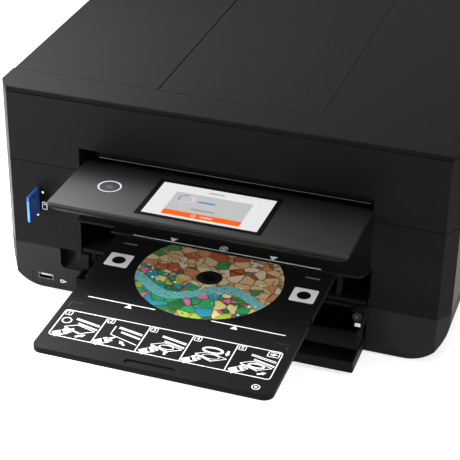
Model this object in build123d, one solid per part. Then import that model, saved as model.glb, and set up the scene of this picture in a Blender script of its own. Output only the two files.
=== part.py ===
from build123d import *
from math import asin, cos, pi, radians, sin
import os

# All-in-one inkjet printer with its disc tray put into the front slot.
# X runs to the right, Y to the back and Z up. Lengths are millimetres.
# Every piece is drawn from the middle of the flat front face at table height
# (Y = 0 is the front face) and saved about the middle of the whole footprint.

# ---- Case ------------------------------------------------------------------
case_width = 390.0
case_depth = 340.0
foot_drop = 1.0           # the base hangs this far above the table
base_top = 43.5           # matte lower case up to here
deck_level = 124.2        # the scanner unit sits on the main case here
band_top = 187.0          # top of the scanner unit's front band
lid_low = 187.3
lid_top = 191.0
corner_x = 9.0            # cut front corners, across and back
corner_y = 12.5
rear_radius = 10.0
side_radius = 34.0        # rounded lower side edges
seam_step = 0.6           # shadow line round the case where two parts meet
edge_cut = 0.8            # bevel on outer top edges
wall = 2.5
floor_wall = 2.0

# ---- Paper bay -------------------------------------------------------------
bay_left = -123.5
bay_right = 128.5
column_depth = 70.0       # full-height bay walls reach back to here
sill_height = 70.0        # behind them the bay walls are this high
slide_gap = 0.5           # sideways play of everything that slides in the bay

# ---- Disc and its tray -----------------------------------------------------
disc_radius = 60.0
disc_bore = 7.5
disc_thick = 1.2
disc_x = 10.0
disc_y = -50.4
tray_left = -84.8
tray_right = 103.1
tray_top = 76.3
tray_thick = 4.6
tray_reach = 185.5        # how far the tray stands out of the front face
tray_inside = 50.5        # how far its rear end reaches in
tray_corner = 8.0
tray_skin = 2.4
tray_play = 0.1
recess_play = 0.4

# ---- Disc guide ------------------------------------------------------------
guide_front = -14.0
guide_left = -90.0
guide_right = 126.0
guide_gap = 1.1           # between the tray's top and the guide plate
guide_thick = 2.0
guide_sweep = 24.0        # radius of the concave front
guide_flat = 8.0
rail_wall = 2.5
rail_lip = 4.2
rail_drop = 23.5

# ---- Control panel ---------------------------------------------------------
panel_left = -118.4
panel_right = 126.5
panel_depth = 80.6
panel_back_y = 5.9
panel_back_z = 131.8
panel_tilt = 1.6
panel_face_thick = 2.2
panel_band = 2.0
panel_thick = 8.8
panel_bevel = 5.0
panel_corner = 3.0
screen_left = -43.1
screen_width = 95.0
screen_height = 53.9
screen_border = 4.6
screen_from_back = 14.8
button_x = -81.8
button_y = -38.2          # from the panel's back edge
ring_radius = 9.8
ring_width = 1.1
button_play = 0.25
button_travel = 0.8
hinge_y = 12.0
hinge_z = 125.6
hinge_radius = 3.0
running_play = 0.05

# ---- Recess above the panel ------------------------------------------------
recess_left = -122.5
recess_right = 127.6
recess_top = 144.3
recess_depth = 26.0
brow_left = -106.0
brow_low = 137.0
brow_depth = 5.0
brow_lip = 1.5            # a small ledge along the brow's lower edge
brow_lip_thick = 0.8

# ---- Scanner and lid -------------------------------------------------------
well_left = -182.0
well_right = 186.0
well_front = 9.5
well_back = 324.0
well_floor = 158.0
glass_thick = 3.0
glass_left = -150.0
glass_right = 165.0
glass_front = 50.0
glass_back = 285.0
glass_ledge = 3.0
strip_left = -173.0
strip_right = -156.0
scan_bar_width = 18.0
scan_bar_height = 17.0
scan_rod_radius = 3.0
scan_rod_z = 131.5
plug_gap_front = 2.0
plug_gap_side = 3.0
mat_thick = 2.2
mat_gap = 0.3
lid_back = 328.0
lid_split_y = 34.6
lid_split_left = -65.6
lid_split_right = 73.4
lid_flap_back = 300.0
flap_gap = 0.4
flap_pin = 1.2
rear_hinge_y = 336.5
rear_hinge_z = 128.0
rear_pin = 1.8
rear_lug = 3.4
rear_hinge_x = 145.0
lid_hinge_y = 331.5
lid_hinge_z = 184.5
lid_hinge_x = 130.0

# ---- Cassettes and output tray ---------------------------------------------
low_front = -38.5
low_back = 258.0
low_bottom = 3.3
low_top = 13.0
up_front = -20.0
up_back = 200.0
up_bottom = 13.6
up_top = 29.0
cassette_wall = 2.0
up_inset = 2.0
low_guide_half = 105.8
up_guide_half = 52.0
guide_plate = 2.0
guide_plate_long = 60.0
out_top = 48.5
out_thick = 3.0
out_front = -1.0
out_back = 188.0
out_travel = 120.0

# ---- Gearing ---------------------------------------------------------------
rack_module = 0.8
pinion_teeth = 10
rack_half = 114.5         # racks stand this far either side of the bay's middle
rack_width = 5.0
pinion_shaft = 2.0
pinion_y = 2.0
train_module = 0.75
train_teeth = 28
train_gears = 5
train_width = 4.0
tooth_share = 0.42        # tooth width as a share of the pitch

# ---- Print mechanism -------------------------------------------------------
feed_y = 160.0
roller_radius = 6.0
roller_gap = 0.2          # between the tray's underside and the rollers
sheet = 1.5
frame_left = -166.0
frame_right = 189.5
frame_front = 60.0
frame_back = 180.0
frame_bottom = 52.0
frame_top = 121.5
side_left = -111.5
side_right = 115.0
shaft_y = 158.0
shaft_z = 100.0
shaft_radius = 4.0
carriage_left = 103.5
carriage_width = 84.0
carriage_front = 84.0
carriage_back = 150.0
carriage_bottom = 80.0
carriage_top = 118.0
cartridges = 5
cartridge_width = 13.0
head_gap = 2.0            # nozzles above the tray
belt_z = 104.0
belt_y = 170.0
belt_width = 6.0
belt_thick = 1.2
pulley_radius = 5.0
turn_roller_y = 270.0
turn_roller_z = 50.0
turn_roller_radius = 22.0
turn_shaft = 4.0
rear_cover_left = -105.5
rear_cover_right = 110.5
rear_cover_low = 14.0
rear_cover_high = 95.5
rear_cover_front = 272.0
rear_guide_radius = 30.0

# ---- Sockets and card ------------------------------------------------------
usb_left = -166.6
usb_right = -151.7
usb_low = 8.3
usb_high = 15.0
scoop_left = -143.8
scoop_low = 24.0
scoop_radius = 14.0
scoop_corner = 5.0
card_x = -162.0
card_low = 76.8
card_height = 24.0
card_thick = 2.1
card_out = 20.0
card_in = 12.0
card_play = 0.35
lamp_x = -157.4
lamp_z = 96.2
lamp_radius = 1.0

half_width = case_width / 2
bay_mid = (bay_left + bay_right) / 2
tray_bottom = tray_top - tray_thick
guide_low = tray_top + guide_gap
guide_high = guide_low + guide_thick
panel_mid = (panel_left + panel_right) / 2
footprint_shift = (tray_reach - case_depth) / 2

os.makedirs("parts", exist_ok=True)


def save(name, *solids):
    """Write one named piece, moved to the middle of the footprint."""
    pieces = [Pos(0, footprint_shift, 0) * solid for solid in solids]
    whole = pieces[0] if len(pieces) == 1 else Compound(children=pieces)
    export_step(whole, f"parts/{name}.step")


def block(x, y, z):
    """A box between the low and high ends given for each axis."""
    size = (x[1] - x[0], y[1] - y[0], z[1] - z[0])
    return Pos(x[0], y[0], z[0]) * Box(*size, align=(Align.MIN,) * 3)


def rod_x(x, y, z, radius):
    """A round bar along X between the two ends in x."""
    bar = Cylinder(radius, x[1] - x[0], align=(Align.CENTER, Align.CENTER, Align.MIN))
    return Pos(x[0], y, z) * Rot(0, 90, 0) * bar


def rod_y(x, y, z, radius):
    """A round bar along Y between the two ends in y."""
    bar = Cylinder(radius, y[1] - y[0], align=(Align.CENTER, Align.CENTER, Align.MIN))
    return Pos(x, y[0], z) * Rot(-90, 0, 0) * bar


def rod_z(x, y, z, radius):
    """A round bar along Z between the two ends in z."""
    bar = Cylinder(radius, z[1] - z[0], align=(Align.CENTER, Align.CENTER, Align.MIN))
    return Pos(x, y, z[0]) * bar


def side_profile(points, x):
    """A closed outline of (y, z) points, drawn out along X."""
    outline = make_face(Polyline(*[(0, y, z) for y, z in points], close=True))
    return Pos(x[0], 0, 0) * extrude(outline, amount=x[1] - x[0], dir=(1, 0, 0))


def case_outline(inset):
    """The case from above: front corners cut, rear corners rounded."""
    side = half_width - inset
    back = case_depth - inset
    corners = [
        (corner_x - side, inset),
        (side - corner_x, inset),
        (side, inset + corner_y),
        (side, back),
        (-side, back),
        (-side, inset + corner_y),
    ]
    outline = make_face(Polyline(*corners, close=True))
    rear = outline.vertices().sort_by(Axis.Y)[-2:]
    return fillet(rear, rear_radius - inset)


def case_slab(z, inset=0.0):
    """A slice of the case between two heights."""
    return extrude(Pos(0, 0, z[0]) * case_outline(inset), amount=z[1] - z[0])


def rounded_front(inset, low):
    """The case from the front: its lower side edges are rounded."""
    side = half_width - inset
    high = deck_level
    outline = Pos(0, (low + high) / 2) * Rectangle(2 * side, high - low)
    corners = outline.vertices().sort_by(Axis.Y)[:2]
    shape = Plane.XZ * fillet(corners, side_radius - inset)
    return extrude(shape, amount=-case_depth)


def gear(teeth, module, width, bore, turned):
    """A spur gear along X, drawn tooth by tooth about its own axis."""
    pitch_radius = teeth * module / 2
    tip = pitch_radius + 0.85 * module
    root = pitch_radius - 1.15 * module
    step = 2 * pi / teeth
    tip_half = asin(tooth_share * module * pi / 4 / tip)
    root_half = asin(tooth_share * module * pi / 1.25 / root / 2)
    points = []
    for tooth in range(teeth):
        middle = tooth * step + turned * step
        for reach, angle in ((root, -root_half), (tip, -tip_half), (tip, tip_half), (root, root_half)):
            points.append((reach * cos(middle + angle), reach * sin(middle + angle)))
    wheel = side_profile(points, (0, width))
    return wheel - rod_x((-1, width + 1), 0, 0, bore) if bore else wheel


# ---- Lower case ------------------------------------------------------------
# A matte tray with two hollow columns beside the open paper bay.
floor_top = foot_drop + floor_wall
hollow = case_slab((floor_top, base_top + 1), wall) & rounded_front(wall, floor_top)
left_column = block((-half_width, bay_left - wall), (0, case_depth), (0, deck_level))
right_column = block((bay_right + wall, half_width), (0, case_depth), (0, deck_level))
bay_x = (bay_left, bay_right)
bay = block(bay_x, (-1, case_depth - wall), (floor_top, deck_level + 1))
rear_x = (rear_cover_left - slide_gap, rear_cover_right + slide_gap)
rear_z = (rear_cover_low - slide_gap, rear_cover_high + slide_gap)
rear_window = block(rear_x, (case_depth - wall - 1, case_depth + 1), rear_z)

scoop_axis_z = scoop_low + scoop_radius
scoop_back = scoop_radius + wall
scoop_block = block(
    (scoop_left - wall, bay_left), (0, scoop_back), (scoop_low - wall, base_top)
)
scoop_outline = Pos((scoop_left + bay_left) / 2 + wall, scoop_axis_z) * RectangleRounded(
    bay_left - scoop_left + 2 * wall, 2 * scoop_radius, scoop_corner
)
scoop = extrude(Plane.XZ * scoop_outline, amount=-scoop_radius, both=True)
scoop &= rod_x((scoop_left, bay_left + wall), 0, scoop_axis_z, scoop_radius)

usb_window = block((usb_left, usb_right), (-1, wall + 1), (usb_low, usb_high))
inlet_x = (150.0, 172.0)
inlet_z = (12.0, 28.0)
rear_wall_y = (case_depth - wall - 1, case_depth + 1)
inlet_window = block(inlet_x, rear_wall_y, inlet_z)

seam_cut = 0.5
usb_panel_left = -171.5
usb_panel_right = -136.0
usb_seam_low = 3.6
usb_seam = block((usb_panel_left, usb_panel_left + seam_cut), (-1, seam_cut), (usb_seam_low, usb_high + 1))
usb_seam += block((usb_panel_left, usb_panel_right), (-1, seam_cut), (usb_seam_low, usb_seam_low + seam_cut))

base_slab = case_slab((foot_drop, base_top))
base_slab = chamfer(base_slab.faces().sort_by(Axis.Z)[-1].edges(), edge_cut)
base_case = base_slab & rounded_front(0, foot_drop)
base_case -= hollow & left_column
base_case -= hollow & right_column
base_case -= bay
base_case += scoop_block & base_slab
base_case -= scoop + usb_window + inlet_window + rear_window + usb_seam

foot_radius = 8.0
foot_recess = 0.8
foot_spots = [(x, y) for x in (-150.0, 150.0) for y in (30.0, 312.0)]
feet = []
for x, y in foot_spots:
    feet.append(rod_z(x, y, (0, foot_drop + foot_recess), foot_radius))
    base_case -= rod_z(x, y, (0, foot_drop + foot_recess), foot_radius)
save("base_case", base_case)
save("rubber_feet", *feet)

# ---- Main case -------------------------------------------------------------
# The glossy upper case: outer walls, bay walls, the deck over the mechanism
# and the ears of the rear hinge.
main_z = (base_top, deck_level)
main_case = case_slab(main_z) - case_slab((base_top - 1, deck_level + 1), wall)
main_case -= block(bay_x, (-1, wall + 1), (base_top - 1, deck_level + 1))
for outer, inner in ((bay_left - wall, bay_left), (bay_right, bay_right + wall)):
    main_case += block((outer, inner), (0, column_depth), main_z)
    main_case += block((outer, inner), (column_depth, case_depth - wall), (base_top, sill_height))
deck = case_slab((deck_level - wall, deck_level), wall / 2)
deck_front = 18.0
deck_open_x = (-163.0, 191.0)
deck_open_y = (80.0, 205.0)
deck -= block(bay_x, (-1, deck_front), (0, deck_level + 1))
deck -= block(deck_open_x, deck_open_y, (0, deck_level + 1))
main_case += deck

ledge_width = 5.0
out_low = out_top - out_thick
ledge_z = (base_top, out_low - tray_play)
ledge_y = (20.0, 210.0)
main_case += block((bay_left, bay_left + ledge_width), ledge_y, ledge_z)
main_case += block((bay_right - ledge_width, bay_right), ledge_y, ledge_z)

card_z = (card_low - card_play, card_low + card_height + card_play)
card_half = card_thick / 2 + card_play
card_slot = block((card_x - card_half, card_x + card_half), (-1, wall + 1), card_z)
network_x = (-176.0, -160.0)
network_z = (58.0, 72.0)
device_x = (-150.0, -138.0)
device_z = (58.0, 69.0)
main_case -= card_slot
main_case -= rod_y(lamp_x, (-1, wall + 1), lamp_z, lamp_radius)
main_case -= block(network_x, rear_wall_y, network_z)
main_case -= block(device_x, rear_wall_y, device_z)
main_case -= rear_window
turn_reach = wall - 0.5
turn_x = (bay_left - turn_reach, bay_right + turn_reach)
main_case -= rod_x(turn_x, turn_roller_y, turn_roller_z, turn_shaft + running_play)

ear_width = 5.0
lug_half = 5.0
ear_gap = 0.5
ears = []
for x in (-rear_hinge_x, rear_hinge_x):
    for side in (-1, 1):
        low = x + side * (lug_half + ear_gap) - (ear_width if side < 0 else 0)
        ear = rod_x((low, low + ear_width), rear_hinge_y, rear_hinge_z, rear_lug)
        ear += block(
            (low, low + ear_width),
            (rear_hinge_y - rear_lug, rear_hinge_y + rear_lug),
            (deck_level, rear_hinge_z),
        )
        main_case += ear - rod_x((low, low + ear_width), rear_hinge_y, rear_hinge_z, rear_pin)

# The panel's hinge shaft lies in three stands on the deck's front edge.
stand_width = 4.0
stand_spots = (panel_mid - 106.0, panel_mid, panel_mid + 106.0)
stand_back = 24.0
for x in stand_spots:
    ends = (x - stand_width / 2, x + stand_width / 2)
    stand = side_profile(
        [
            (hinge_y, hinge_z - hinge_radius - 2),
            (deck_front, deck_level - wall),
            (stand_back, deck_level - wall),
            (stand_back, hinge_z + 2),
            (hinge_y, hinge_z + hinge_radius + 2),
        ],
        ends,
    )
    stand += rod_x(ends, hinge_y, hinge_z, hinge_radius + 2)
    main_case += stand - rod_x(ends, hinge_y, hinge_z, hinge_radius)
for low, high in ((base_top - 1, base_top + seam_step), (deck_level - seam_step, deck_level + 1)):
    main_case -= case_slab((low, high)) - case_slab((low - 1, high + 1), seam_step)

# A bevel on the bay's right front corner, and cooling slots in the back.
bevel = 2.0
bevel_face = make_face(
    Polyline((bay_right - 1, -1), (bay_right + bevel + 1, -1), (bay_right - 1, bevel + 1), close=True)
)
main_case -= extrude(Pos(0, 0, 52.0) * bevel_face, amount=27.0)
vent_width = 2.0
vent_step = 5.0
for index in range(9):
    vent_x = 139.0 + index * vent_step
    main_case -= block((vent_x, vent_x + vent_width), rear_wall_y, (62.0, 104.0))

# The back's left end is a panel built up of strips round its socket windows.
panel_zone_y = (case_depth - rear_radius, case_depth + 1)
panel_zone_z = (base_top - 1, deck_level - wall)
strip_edges = (-half_width - 1, *network_x, *device_x, bay_left - wall)
socket_panel = main_case & block((strip_edges[0], strip_edges[-1]), panel_zone_y, panel_zone_z)
main_case -= block((strip_edges[0], strip_edges[-1]), panel_zone_y, panel_zone_z)
panel_strips = []
for ends in zip(strip_edges, strip_edges[1:]):
    panel_strips += (socket_panel & block(ends, panel_zone_y, panel_zone_z)).solids()
save("main_case", main_case, *panel_strips)

pins = []
for x in (-rear_hinge_x, rear_hinge_x):
    reach = lug_half + ear_gap + ear_width
    pins.append(rod_x((x - reach, x + reach), rear_hinge_y, rear_hinge_z, rear_pin))
save("scanner_hinge_pins", *pins)

# ---- Sockets, lamp and card ------------------------------------------------
def socket_shell(x, y, z, thick):
    """A sheet-metal shell, open at the front end of y."""
    inner = block(
        (x[0] + thick, x[1] - thick), (y[0] - 1, y[1] - thick), (z[0] + thick, z[1] - thick)
    )
    return block(x, y, z) - inner


usb_play = 0.4
usb_x = (usb_left + usb_play, usb_right - usb_play)
usb_z = (usb_low + usb_play, usb_high - usb_play)
usb_socket = socket_shell(usb_x, (0.6, 17.0), usb_z, 0.6)
usb_mid = (usb_low + usb_high) / 2
usb_socket += block((usb_x[0] + 1.6, usb_x[1] - 1.6), (2.0, 16.5), (usb_mid + 0.3, usb_mid + 2.0))
usb_foot = block((usb_x[0] + 6, usb_x[1] - 1), (6.0, 16.0), (floor_top, usb_z[0]))

card_box_wall = 1.2
card_box_y = (wall, card_in + 3.0)
card_box = block(
    (card_x - card_half - card_box_wall, card_x + card_half + card_box_wall),
    card_box_y,
    (card_z[0] - card_box_wall, card_z[1] + card_box_wall),
)
card_box -= block((card_x - card_half, card_x + card_half), (0, card_in + 1.0), card_z)
save("front_sockets", usb_socket + usb_foot, card_box)

card_outline = Rectangle(card_out + card_in, card_height)
card_corner = card_outline.vertices().sort_by(Axis.Y)[-1]
card = Plane.YZ * chamfer(card_corner, 4.0)
memory_card = extrude(card, amount=card_thick / 2, both=True)
memory_card = Pos(card_x, (card_in - card_out) / 2, card_low + card_height / 2) * memory_card
save("memory_card", memory_card)

status_lamp = rod_y(lamp_x, (0, 9.0), lamp_z, lamp_radius)
save("status_lamp", status_lamp)

power_inlet = block(inlet_x, (case_depth - 20.0, case_depth - 0.4), inlet_z)
inlet_mid_x = (inlet_x[0] + inlet_x[1]) / 2
inlet_mid_z = (inlet_z[0] + inlet_z[1]) / 2
inlet_mouth = Pos(inlet_mid_x, inlet_mid_z) * SlotOverall(15.0, 9.0)
power_inlet -= Pos(0, case_depth + 1, 0) * extrude(Plane.XZ * inlet_mouth, amount=13.0)
for side in (-1, 1):
    power_inlet += rod_y(inlet_mid_x + side * 3.6, (case_depth - 14.0, case_depth - 4.0), inlet_mid_z, 1.1)

rear_sockets = [power_inlet]
for x, z in ((network_x, network_z), (device_x, device_z)):
    shell = block(x, (case_depth - 16.0, case_depth - 0.4), z)
    shell -= block(
        (x[0] + 1.2, x[1] - 1.2), (case_depth - 13.0, case_depth), (z[0] + 1.2, z[1] - 1.2)
    )
    rear_sockets.append(shell)
save("rear_sockets", *rear_sockets)

# ---- Electronics -----------------------------------------------------------
column_mid = (side_radius - half_width + bay_left - wall) / 2
supply_half = 15.5
supply_x = (column_mid - supply_half, column_mid + supply_half)
power_supply = block(supply_x, (180.0, 320.0), (floor_top, floor_top + 34.0))
power_supply = chamfer(power_supply.edges().filter_by(Axis.Y).group_by(Axis.Z)[-1], 2.0)
save("power_supply", power_supply)

board_x = supply_x
board_z = 50.0
main_board = block(board_x, (26.0, 172.0), (board_z, board_z + 1.6))
for row in range(3):
    chip_y = 48.0 + 42.0 * row
    main_board += block((column_mid - 8.0, column_mid + 8.0), (chip_y, chip_y + 16.0), (board_z + 1.6, board_z + 4.0))
for x in board_x:
    post_x = x + (4.0 if x < column_mid else -4.0)
    for y in (32.0, 166.0):
        main_board += rod_z(post_x, y, (floor_top, board_z), 2.5)
save("main_board", main_board)

# ---- Disc guide ------------------------------------------------------------
# A concave front that ends in a flat lip over the tray. The lip's left end
# stops beside the tray, and its right front corner is rounded.
sweep_y = guide_front + guide_flat
wall_y = sweep_y + guide_sweep
sweep_mid = guide_sweep * sin(radians(45))
inner_sweep = guide_sweep + guide_thick
inner_mid = inner_sweep * sin(radians(45))
sweep_z = guide_high + guide_sweep
fascia_top = deck_level - wall
outer_arc = ThreePointArc(
    (0, sweep_y, guide_high),
    (0, sweep_y + sweep_mid, sweep_z - sweep_mid),
    (0, wall_y, sweep_z),
)
inner_arc = ThreePointArc(
    (0, wall_y + guide_thick, sweep_z),
    (0, sweep_y + inner_mid, sweep_z - inner_mid),
    (0, sweep_y, guide_low),
)
fascia_face = make_face(
    outer_arc
    + Line((0, wall_y, sweep_z), (0, wall_y, fascia_top))
    + Line((0, wall_y, fascia_top), (0, wall_y + guide_thick, fascia_top))
    + Line((0, wall_y + guide_thick, fascia_top), (0, wall_y + guide_thick, sweep_z))
    + inner_arc
    + Line((0, sweep_y, guide_low), (0, sweep_y, guide_high))
)
fascia_length = bay_right - bay_left
disc_guide = Pos(bay_left, 0, 0) * extrude(fascia_face, amount=fascia_length, dir=(1, 0, 0))
lip = block((guide_left, guide_right), (guide_front, sweep_y + 1), (guide_low, guide_high))
lip_corner = lip.edges().filter_by(Axis.Z).sort_by(Axis.Y)[:2].sort_by(Axis.X)[-1]
lip = fillet(lip_corner, 6.0)
disc_guide += lip
save("disc_guide", disc_guide)

# ---- Rails that carry the tray ---------------------------------------------
rail_front = -6.0
rail_back = frame_front + 4.0
rail_z = (guide_low - rail_drop, guide_low)
seat_z = (tray_bottom - tray_play - 2.0, tray_bottom - tray_play)
tray_rails = []
for side, edge in ((-1, tray_left - recess_play), (1, tray_right + recess_play)):
    upright = sorted((edge, edge + side * rail_wall))
    lip_x = sorted((edge, edge - side * rail_lip))
    rail = block(upright, (rail_front, rail_back), rail_z)
    rail += block(lip_x, (rail_front, rail_back), seat_z)
    # Above the lip, behind the guide's sweep, the rail is level with the guide.
    tray_rails.append(rail)
save("tray_rails", *tray_rails)

# ---- Disc tray and disc ----------------------------------------------------
tray_mid = (tray_left + tray_right) / 2
tray_size = (tray_right - tray_left, tray_reach + tray_inside)
tray_plan = Pos(tray_mid, (tray_inside - tray_reach) / 2) * Rectangle(*tray_size)
tray_plan = fillet(tray_plan.vertices(), tray_corner)
disc_tray = extrude(Pos(0, 0, tray_bottom) * tray_plan, amount=tray_thick)
disc_tray = chamfer(disc_tray.faces().sort_by(Axis.Z)[-1].outer_wire().edges(), 0.5)
seat = tray_top - disc_thick - tray_play
disc_tray -= rod_z(disc_x, disc_y, (seat, tray_top + 1), disc_radius + recess_play)

# A scallop beside the disc lets a finger under its edge.
finger_angle = radians(-48.0)
finger_reach = disc_radius + 2.0
finger_depth = 2.0
finger_radius = 34.0
finger_x = disc_x + finger_reach * cos(finger_angle)
finger_y = disc_y + finger_reach * sin(finger_angle)
finger_ball = Pos(finger_x, finger_y, tray_top + finger_radius - finger_depth) * Sphere(finger_radius)
disc_tray -= finger_ball

# Ribbed underside: a grid of pockets below the skin.
rim = 5.0
rib = 1.6
pocket_rows = 6
pocket_columns = 5
pocket_depth = tray_thick - tray_skin
pocket_x = (tray_size[0] - 2 * rim - (pocket_columns - 1) * rib) / pocket_columns
pocket_y = (tray_size[1] - 2 * rim - (pocket_rows - 1) * rib) / pocket_rows
for column in range(pocket_columns):
    for row in range(pocket_rows):
        x = tray_left + rim + column * (pocket_x + rib)
        y = -tray_reach + rim + row * (pocket_y + rib)
        disc_tray -= block((x, x + pocket_x), (y, y + pocket_y), (tray_bottom - 1, tray_bottom + pocket_depth))

# Grip recess, sighting ridges and the corner marks on the top.
grip_x = (-12.0, 28.0)
grip_y = (-183.0, -176.0)
grip_plan = Pos(sum(grip_x) / 2, sum(grip_y) / 2, tray_top - 1.2) * SlotOverall(grip_x[1] - grip_x[0], grip_y[1] - grip_y[0])
disc_tray -= extrude(grip_plan, amount=3.0)
ridge_half = 78.0
ridge_y = -24.2
for side in (-1, 1):
    x = disc_x + side * ridge_half
    disc_tray += block((x - 6, x + 6), (ridge_y - 1, ridge_y + 1), (tray_top - 0.5, tray_top + 0.5))
notch_y = (-88.0, -80.0)
notch_in = 2.6
disc_tray -= block((tray_right - notch_in, tray_right + 1), notch_y, (0, tray_top + 1))
disc_tray -= block((tray_left - 1, tray_left + notch_in), notch_y, (0, tray_top + 1))

# The hub holds the disc by its centre hole: six sprung fingers round a boss.
hub_play = 0.1
hub_top = tray_top + 0.6
hub = rod_z(disc_x, disc_y, (seat - 0.5, hub_top), disc_bore - hub_play)
hub -= rod_z(disc_x, disc_y, (seat + 0.4, hub_top + 1), disc_bore - 2.0)
for finger in range(6):
    slit = block((-0.4, 0.4), (3.0, disc_bore + 1), (seat + 0.4, hub_top + 1))
    hub -= Pos(disc_x, disc_y, 0) * Rot(0, 0, 60 * finger) * slit
disc_tray += hub
save("disc_tray", disc_tray)

disc = rod_z(disc_x, disc_y, (seat, seat + disc_thick), disc_radius)
disc -= rod_z(disc_x, disc_y, (0, 200), disc_bore)
save("disc", disc)

# ---- Control panel ---------------------------------------------------------
panel_place = Pos(panel_mid, panel_back_y, panel_back_z) * Rot(-panel_tilt, 0, 0)
panel_width = panel_right - panel_left
panel_plan = Pos(0, -panel_depth / 2) * RectangleRounded(panel_width, panel_depth, panel_corner)
window_width = screen_width + 2 * screen_border
window_height = screen_height + 2 * screen_border
window_x = screen_left + screen_width / 2 - panel_mid
window_y = -(screen_from_back + screen_height / 2)
window_plan = Pos(window_x, window_y) * RectangleRounded(window_width, window_height, 1.5)
face = extrude(panel_plan, amount=-panel_face_thick)
face = chamfer(face.faces().sort_by(Axis.Z)[-1].outer_wire().edges(), 0.4)
face -= extrude(window_plan, amount=-panel_thick)
button_local = button_x - panel_mid
face -= rod_z(button_local, button_y, (-10, 1), ring_radius)
save("panel_face", panel_place * face)

screen_gap = 0.1
screen = Pos(window_x, window_y) * RectangleRounded(
    window_width - 2 * screen_gap, window_height - 2 * screen_gap, 1.4
)
display = extrude(Pos(0, 0, -0.05) * screen, amount=0.05 - panel_face_thick)
module = block(
    (window_x - screen_width / 2 - 2, window_x + screen_width / 2 + 2),
    (window_y - screen_height / 2 - 2, window_y + screen_height / 2 + 2),
    (-6.0, -panel_face_thick),
)
save("display_module", panel_place * (display + module))

# The shell keeps the face's outline for a band and then draws in below.
shell_wall = 1.8
band_low = -panel_face_thick - panel_band
shell_low = -panel_thick
shell_plan_low = Pos(0, -panel_depth / 2) * RectangleRounded(
    panel_width - 2 * panel_bevel, panel_depth - 2 * panel_bevel, panel_corner
)
shell = extrude(Pos(0, 0, band_low) * panel_plan, amount=panel_band)
shell += loft([Pos(0, 0, band_low) * panel_plan, Pos(0, 0, shell_low) * shell_plan_low])
shell_hollow = Pos(0, -panel_depth / 2) * RectangleRounded(
    panel_width - 2 * panel_bevel - 2 * shell_wall, panel_depth - 2 * panel_bevel - 2 * shell_wall, panel_corner
)
shell -= extrude(Pos(0, 0, shell_low + shell_wall) * shell_hollow, amount=panel_thick)
shell = panel_place * shell
arm_width = 9.0
arm_spots = (panel_mid - 92.0, panel_mid + 92.0)
arm_y = panel_back_y - panel_bevel
for x in arm_spots:
    ends = (x - arm_width / 2, x + arm_width / 2)
    arm = rod_x(ends, hinge_y, hinge_z, hinge_radius + 2)
    arm += block(ends, (arm_y, hinge_y), (hinge_z - hinge_radius + 0.5, hinge_z + hinge_radius - 0.5))
    shell += arm
    shell -= rod_x((ends[0] - 1, ends[1] + 1), hinge_y, hinge_z, hinge_radius + running_play)
save("panel_shell", shell)

hinge_reach = stand_spots[2] + stand_width / 2
hinge_ends = (stand_spots[0] - stand_width / 2, hinge_reach)
save("panel_hinge_shaft", rod_x(hinge_ends, hinge_y, hinge_z, hinge_radius))

ring = rod_z(button_local, button_y, (-panel_face_thick, 0), ring_radius)
ring -= rod_z(button_local, button_y, (-5, 1), ring_radius - ring_width)
save("button_ring", panel_place * ring)

cap_radius = ring_radius - ring_width - button_play
button = rod_z(button_local, button_y, (-panel_face_thick - 1.6, 0), cap_radius)
button = chamfer(button.edges().sort_by(Axis.Z)[-1], 0.3)
save("power_button", panel_place * button)

# ---- Scanner unit ----------------------------------------------------------
scanner = case_slab((deck_level, band_top))
front_top = scanner.edges().group_by(Axis.Z)[-1].filter_by(Axis.X).sort_by(Axis.Y)[0]
scanner = chamfer(front_top, 0.9)
rear_cut = 5.0
scanner -= side_profile(
    [
        (case_depth + 1, deck_level - 1),
        (case_depth - rear_cut - 1, deck_level - 1),
        (case_depth - rear_cut, deck_level),
        (case_depth, deck_level + rear_cut),
        (case_depth + 1, deck_level + rear_cut),
    ],
    (-half_width - 1, half_width + 1),
)
well = block((well_left, well_right), (well_front, well_back), (well_floor, band_top + 1))
bed_low = well_floor - glass_thick - 2.0
inner_front = recess_depth + wall
scanner -= well
scanner -= block(
    (-half_width + wall + 2, half_width - wall - 2),
    (inner_front, rear_hinge_y - 2 * rear_lug - wall),
    (deck_level + wall, bed_low),
)
strip = (strip_left, strip_right)
for x in ((glass_left, glass_right), strip):
    scanner -= block(x, (glass_front, glass_back), (well_floor - glass_thick, well_floor + 1))
    scanner -= block(
        (x[0] + glass_ledge, x[1] - glass_ledge),
        (glass_front + glass_ledge, glass_back - glass_ledge),
        (bed_low - 1, well_floor),
    )
scanner -= block(
    (recess_left, recess_right), (-1, recess_depth), (deck_level - 1, recess_top)
)
brow = side_profile(
    [
        (0.6, recess_top),
        (brow_depth, brow_low + brow_lip_thick),
        (brow_depth - brow_lip, brow_low + brow_lip_thick),
        (brow_depth - brow_lip, brow_low),
        (brow_depth + wall, brow_low),
        (brow_depth + wall, recess_top),
    ],
    (brow_left, recess_right),
)
for x in (-rear_hinge_x, rear_hinge_x):
    reach = lug_half + ear_gap + ear_width + 1
    scanner -= block(
        (x - reach, x + reach),
        (rear_hinge_y - rear_lug - 2, case_depth + 1),
        (deck_level - 1, rear_hinge_z + rear_lug + 2),
    )
    lug_x = (x - lug_half, x + lug_half)
    scanner += rod_x(lug_x, rear_hinge_y, rear_hinge_z, rear_lug)
    scanner += block(
        lug_x, (rear_hinge_y - rear_lug, rear_hinge_y + 1), (rear_hinge_z, rear_hinge_z + rear_lug + 3)
    )
    scanner -= rod_x(lug_x, rear_hinge_y, rear_hinge_z, rear_pin + running_play)

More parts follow.
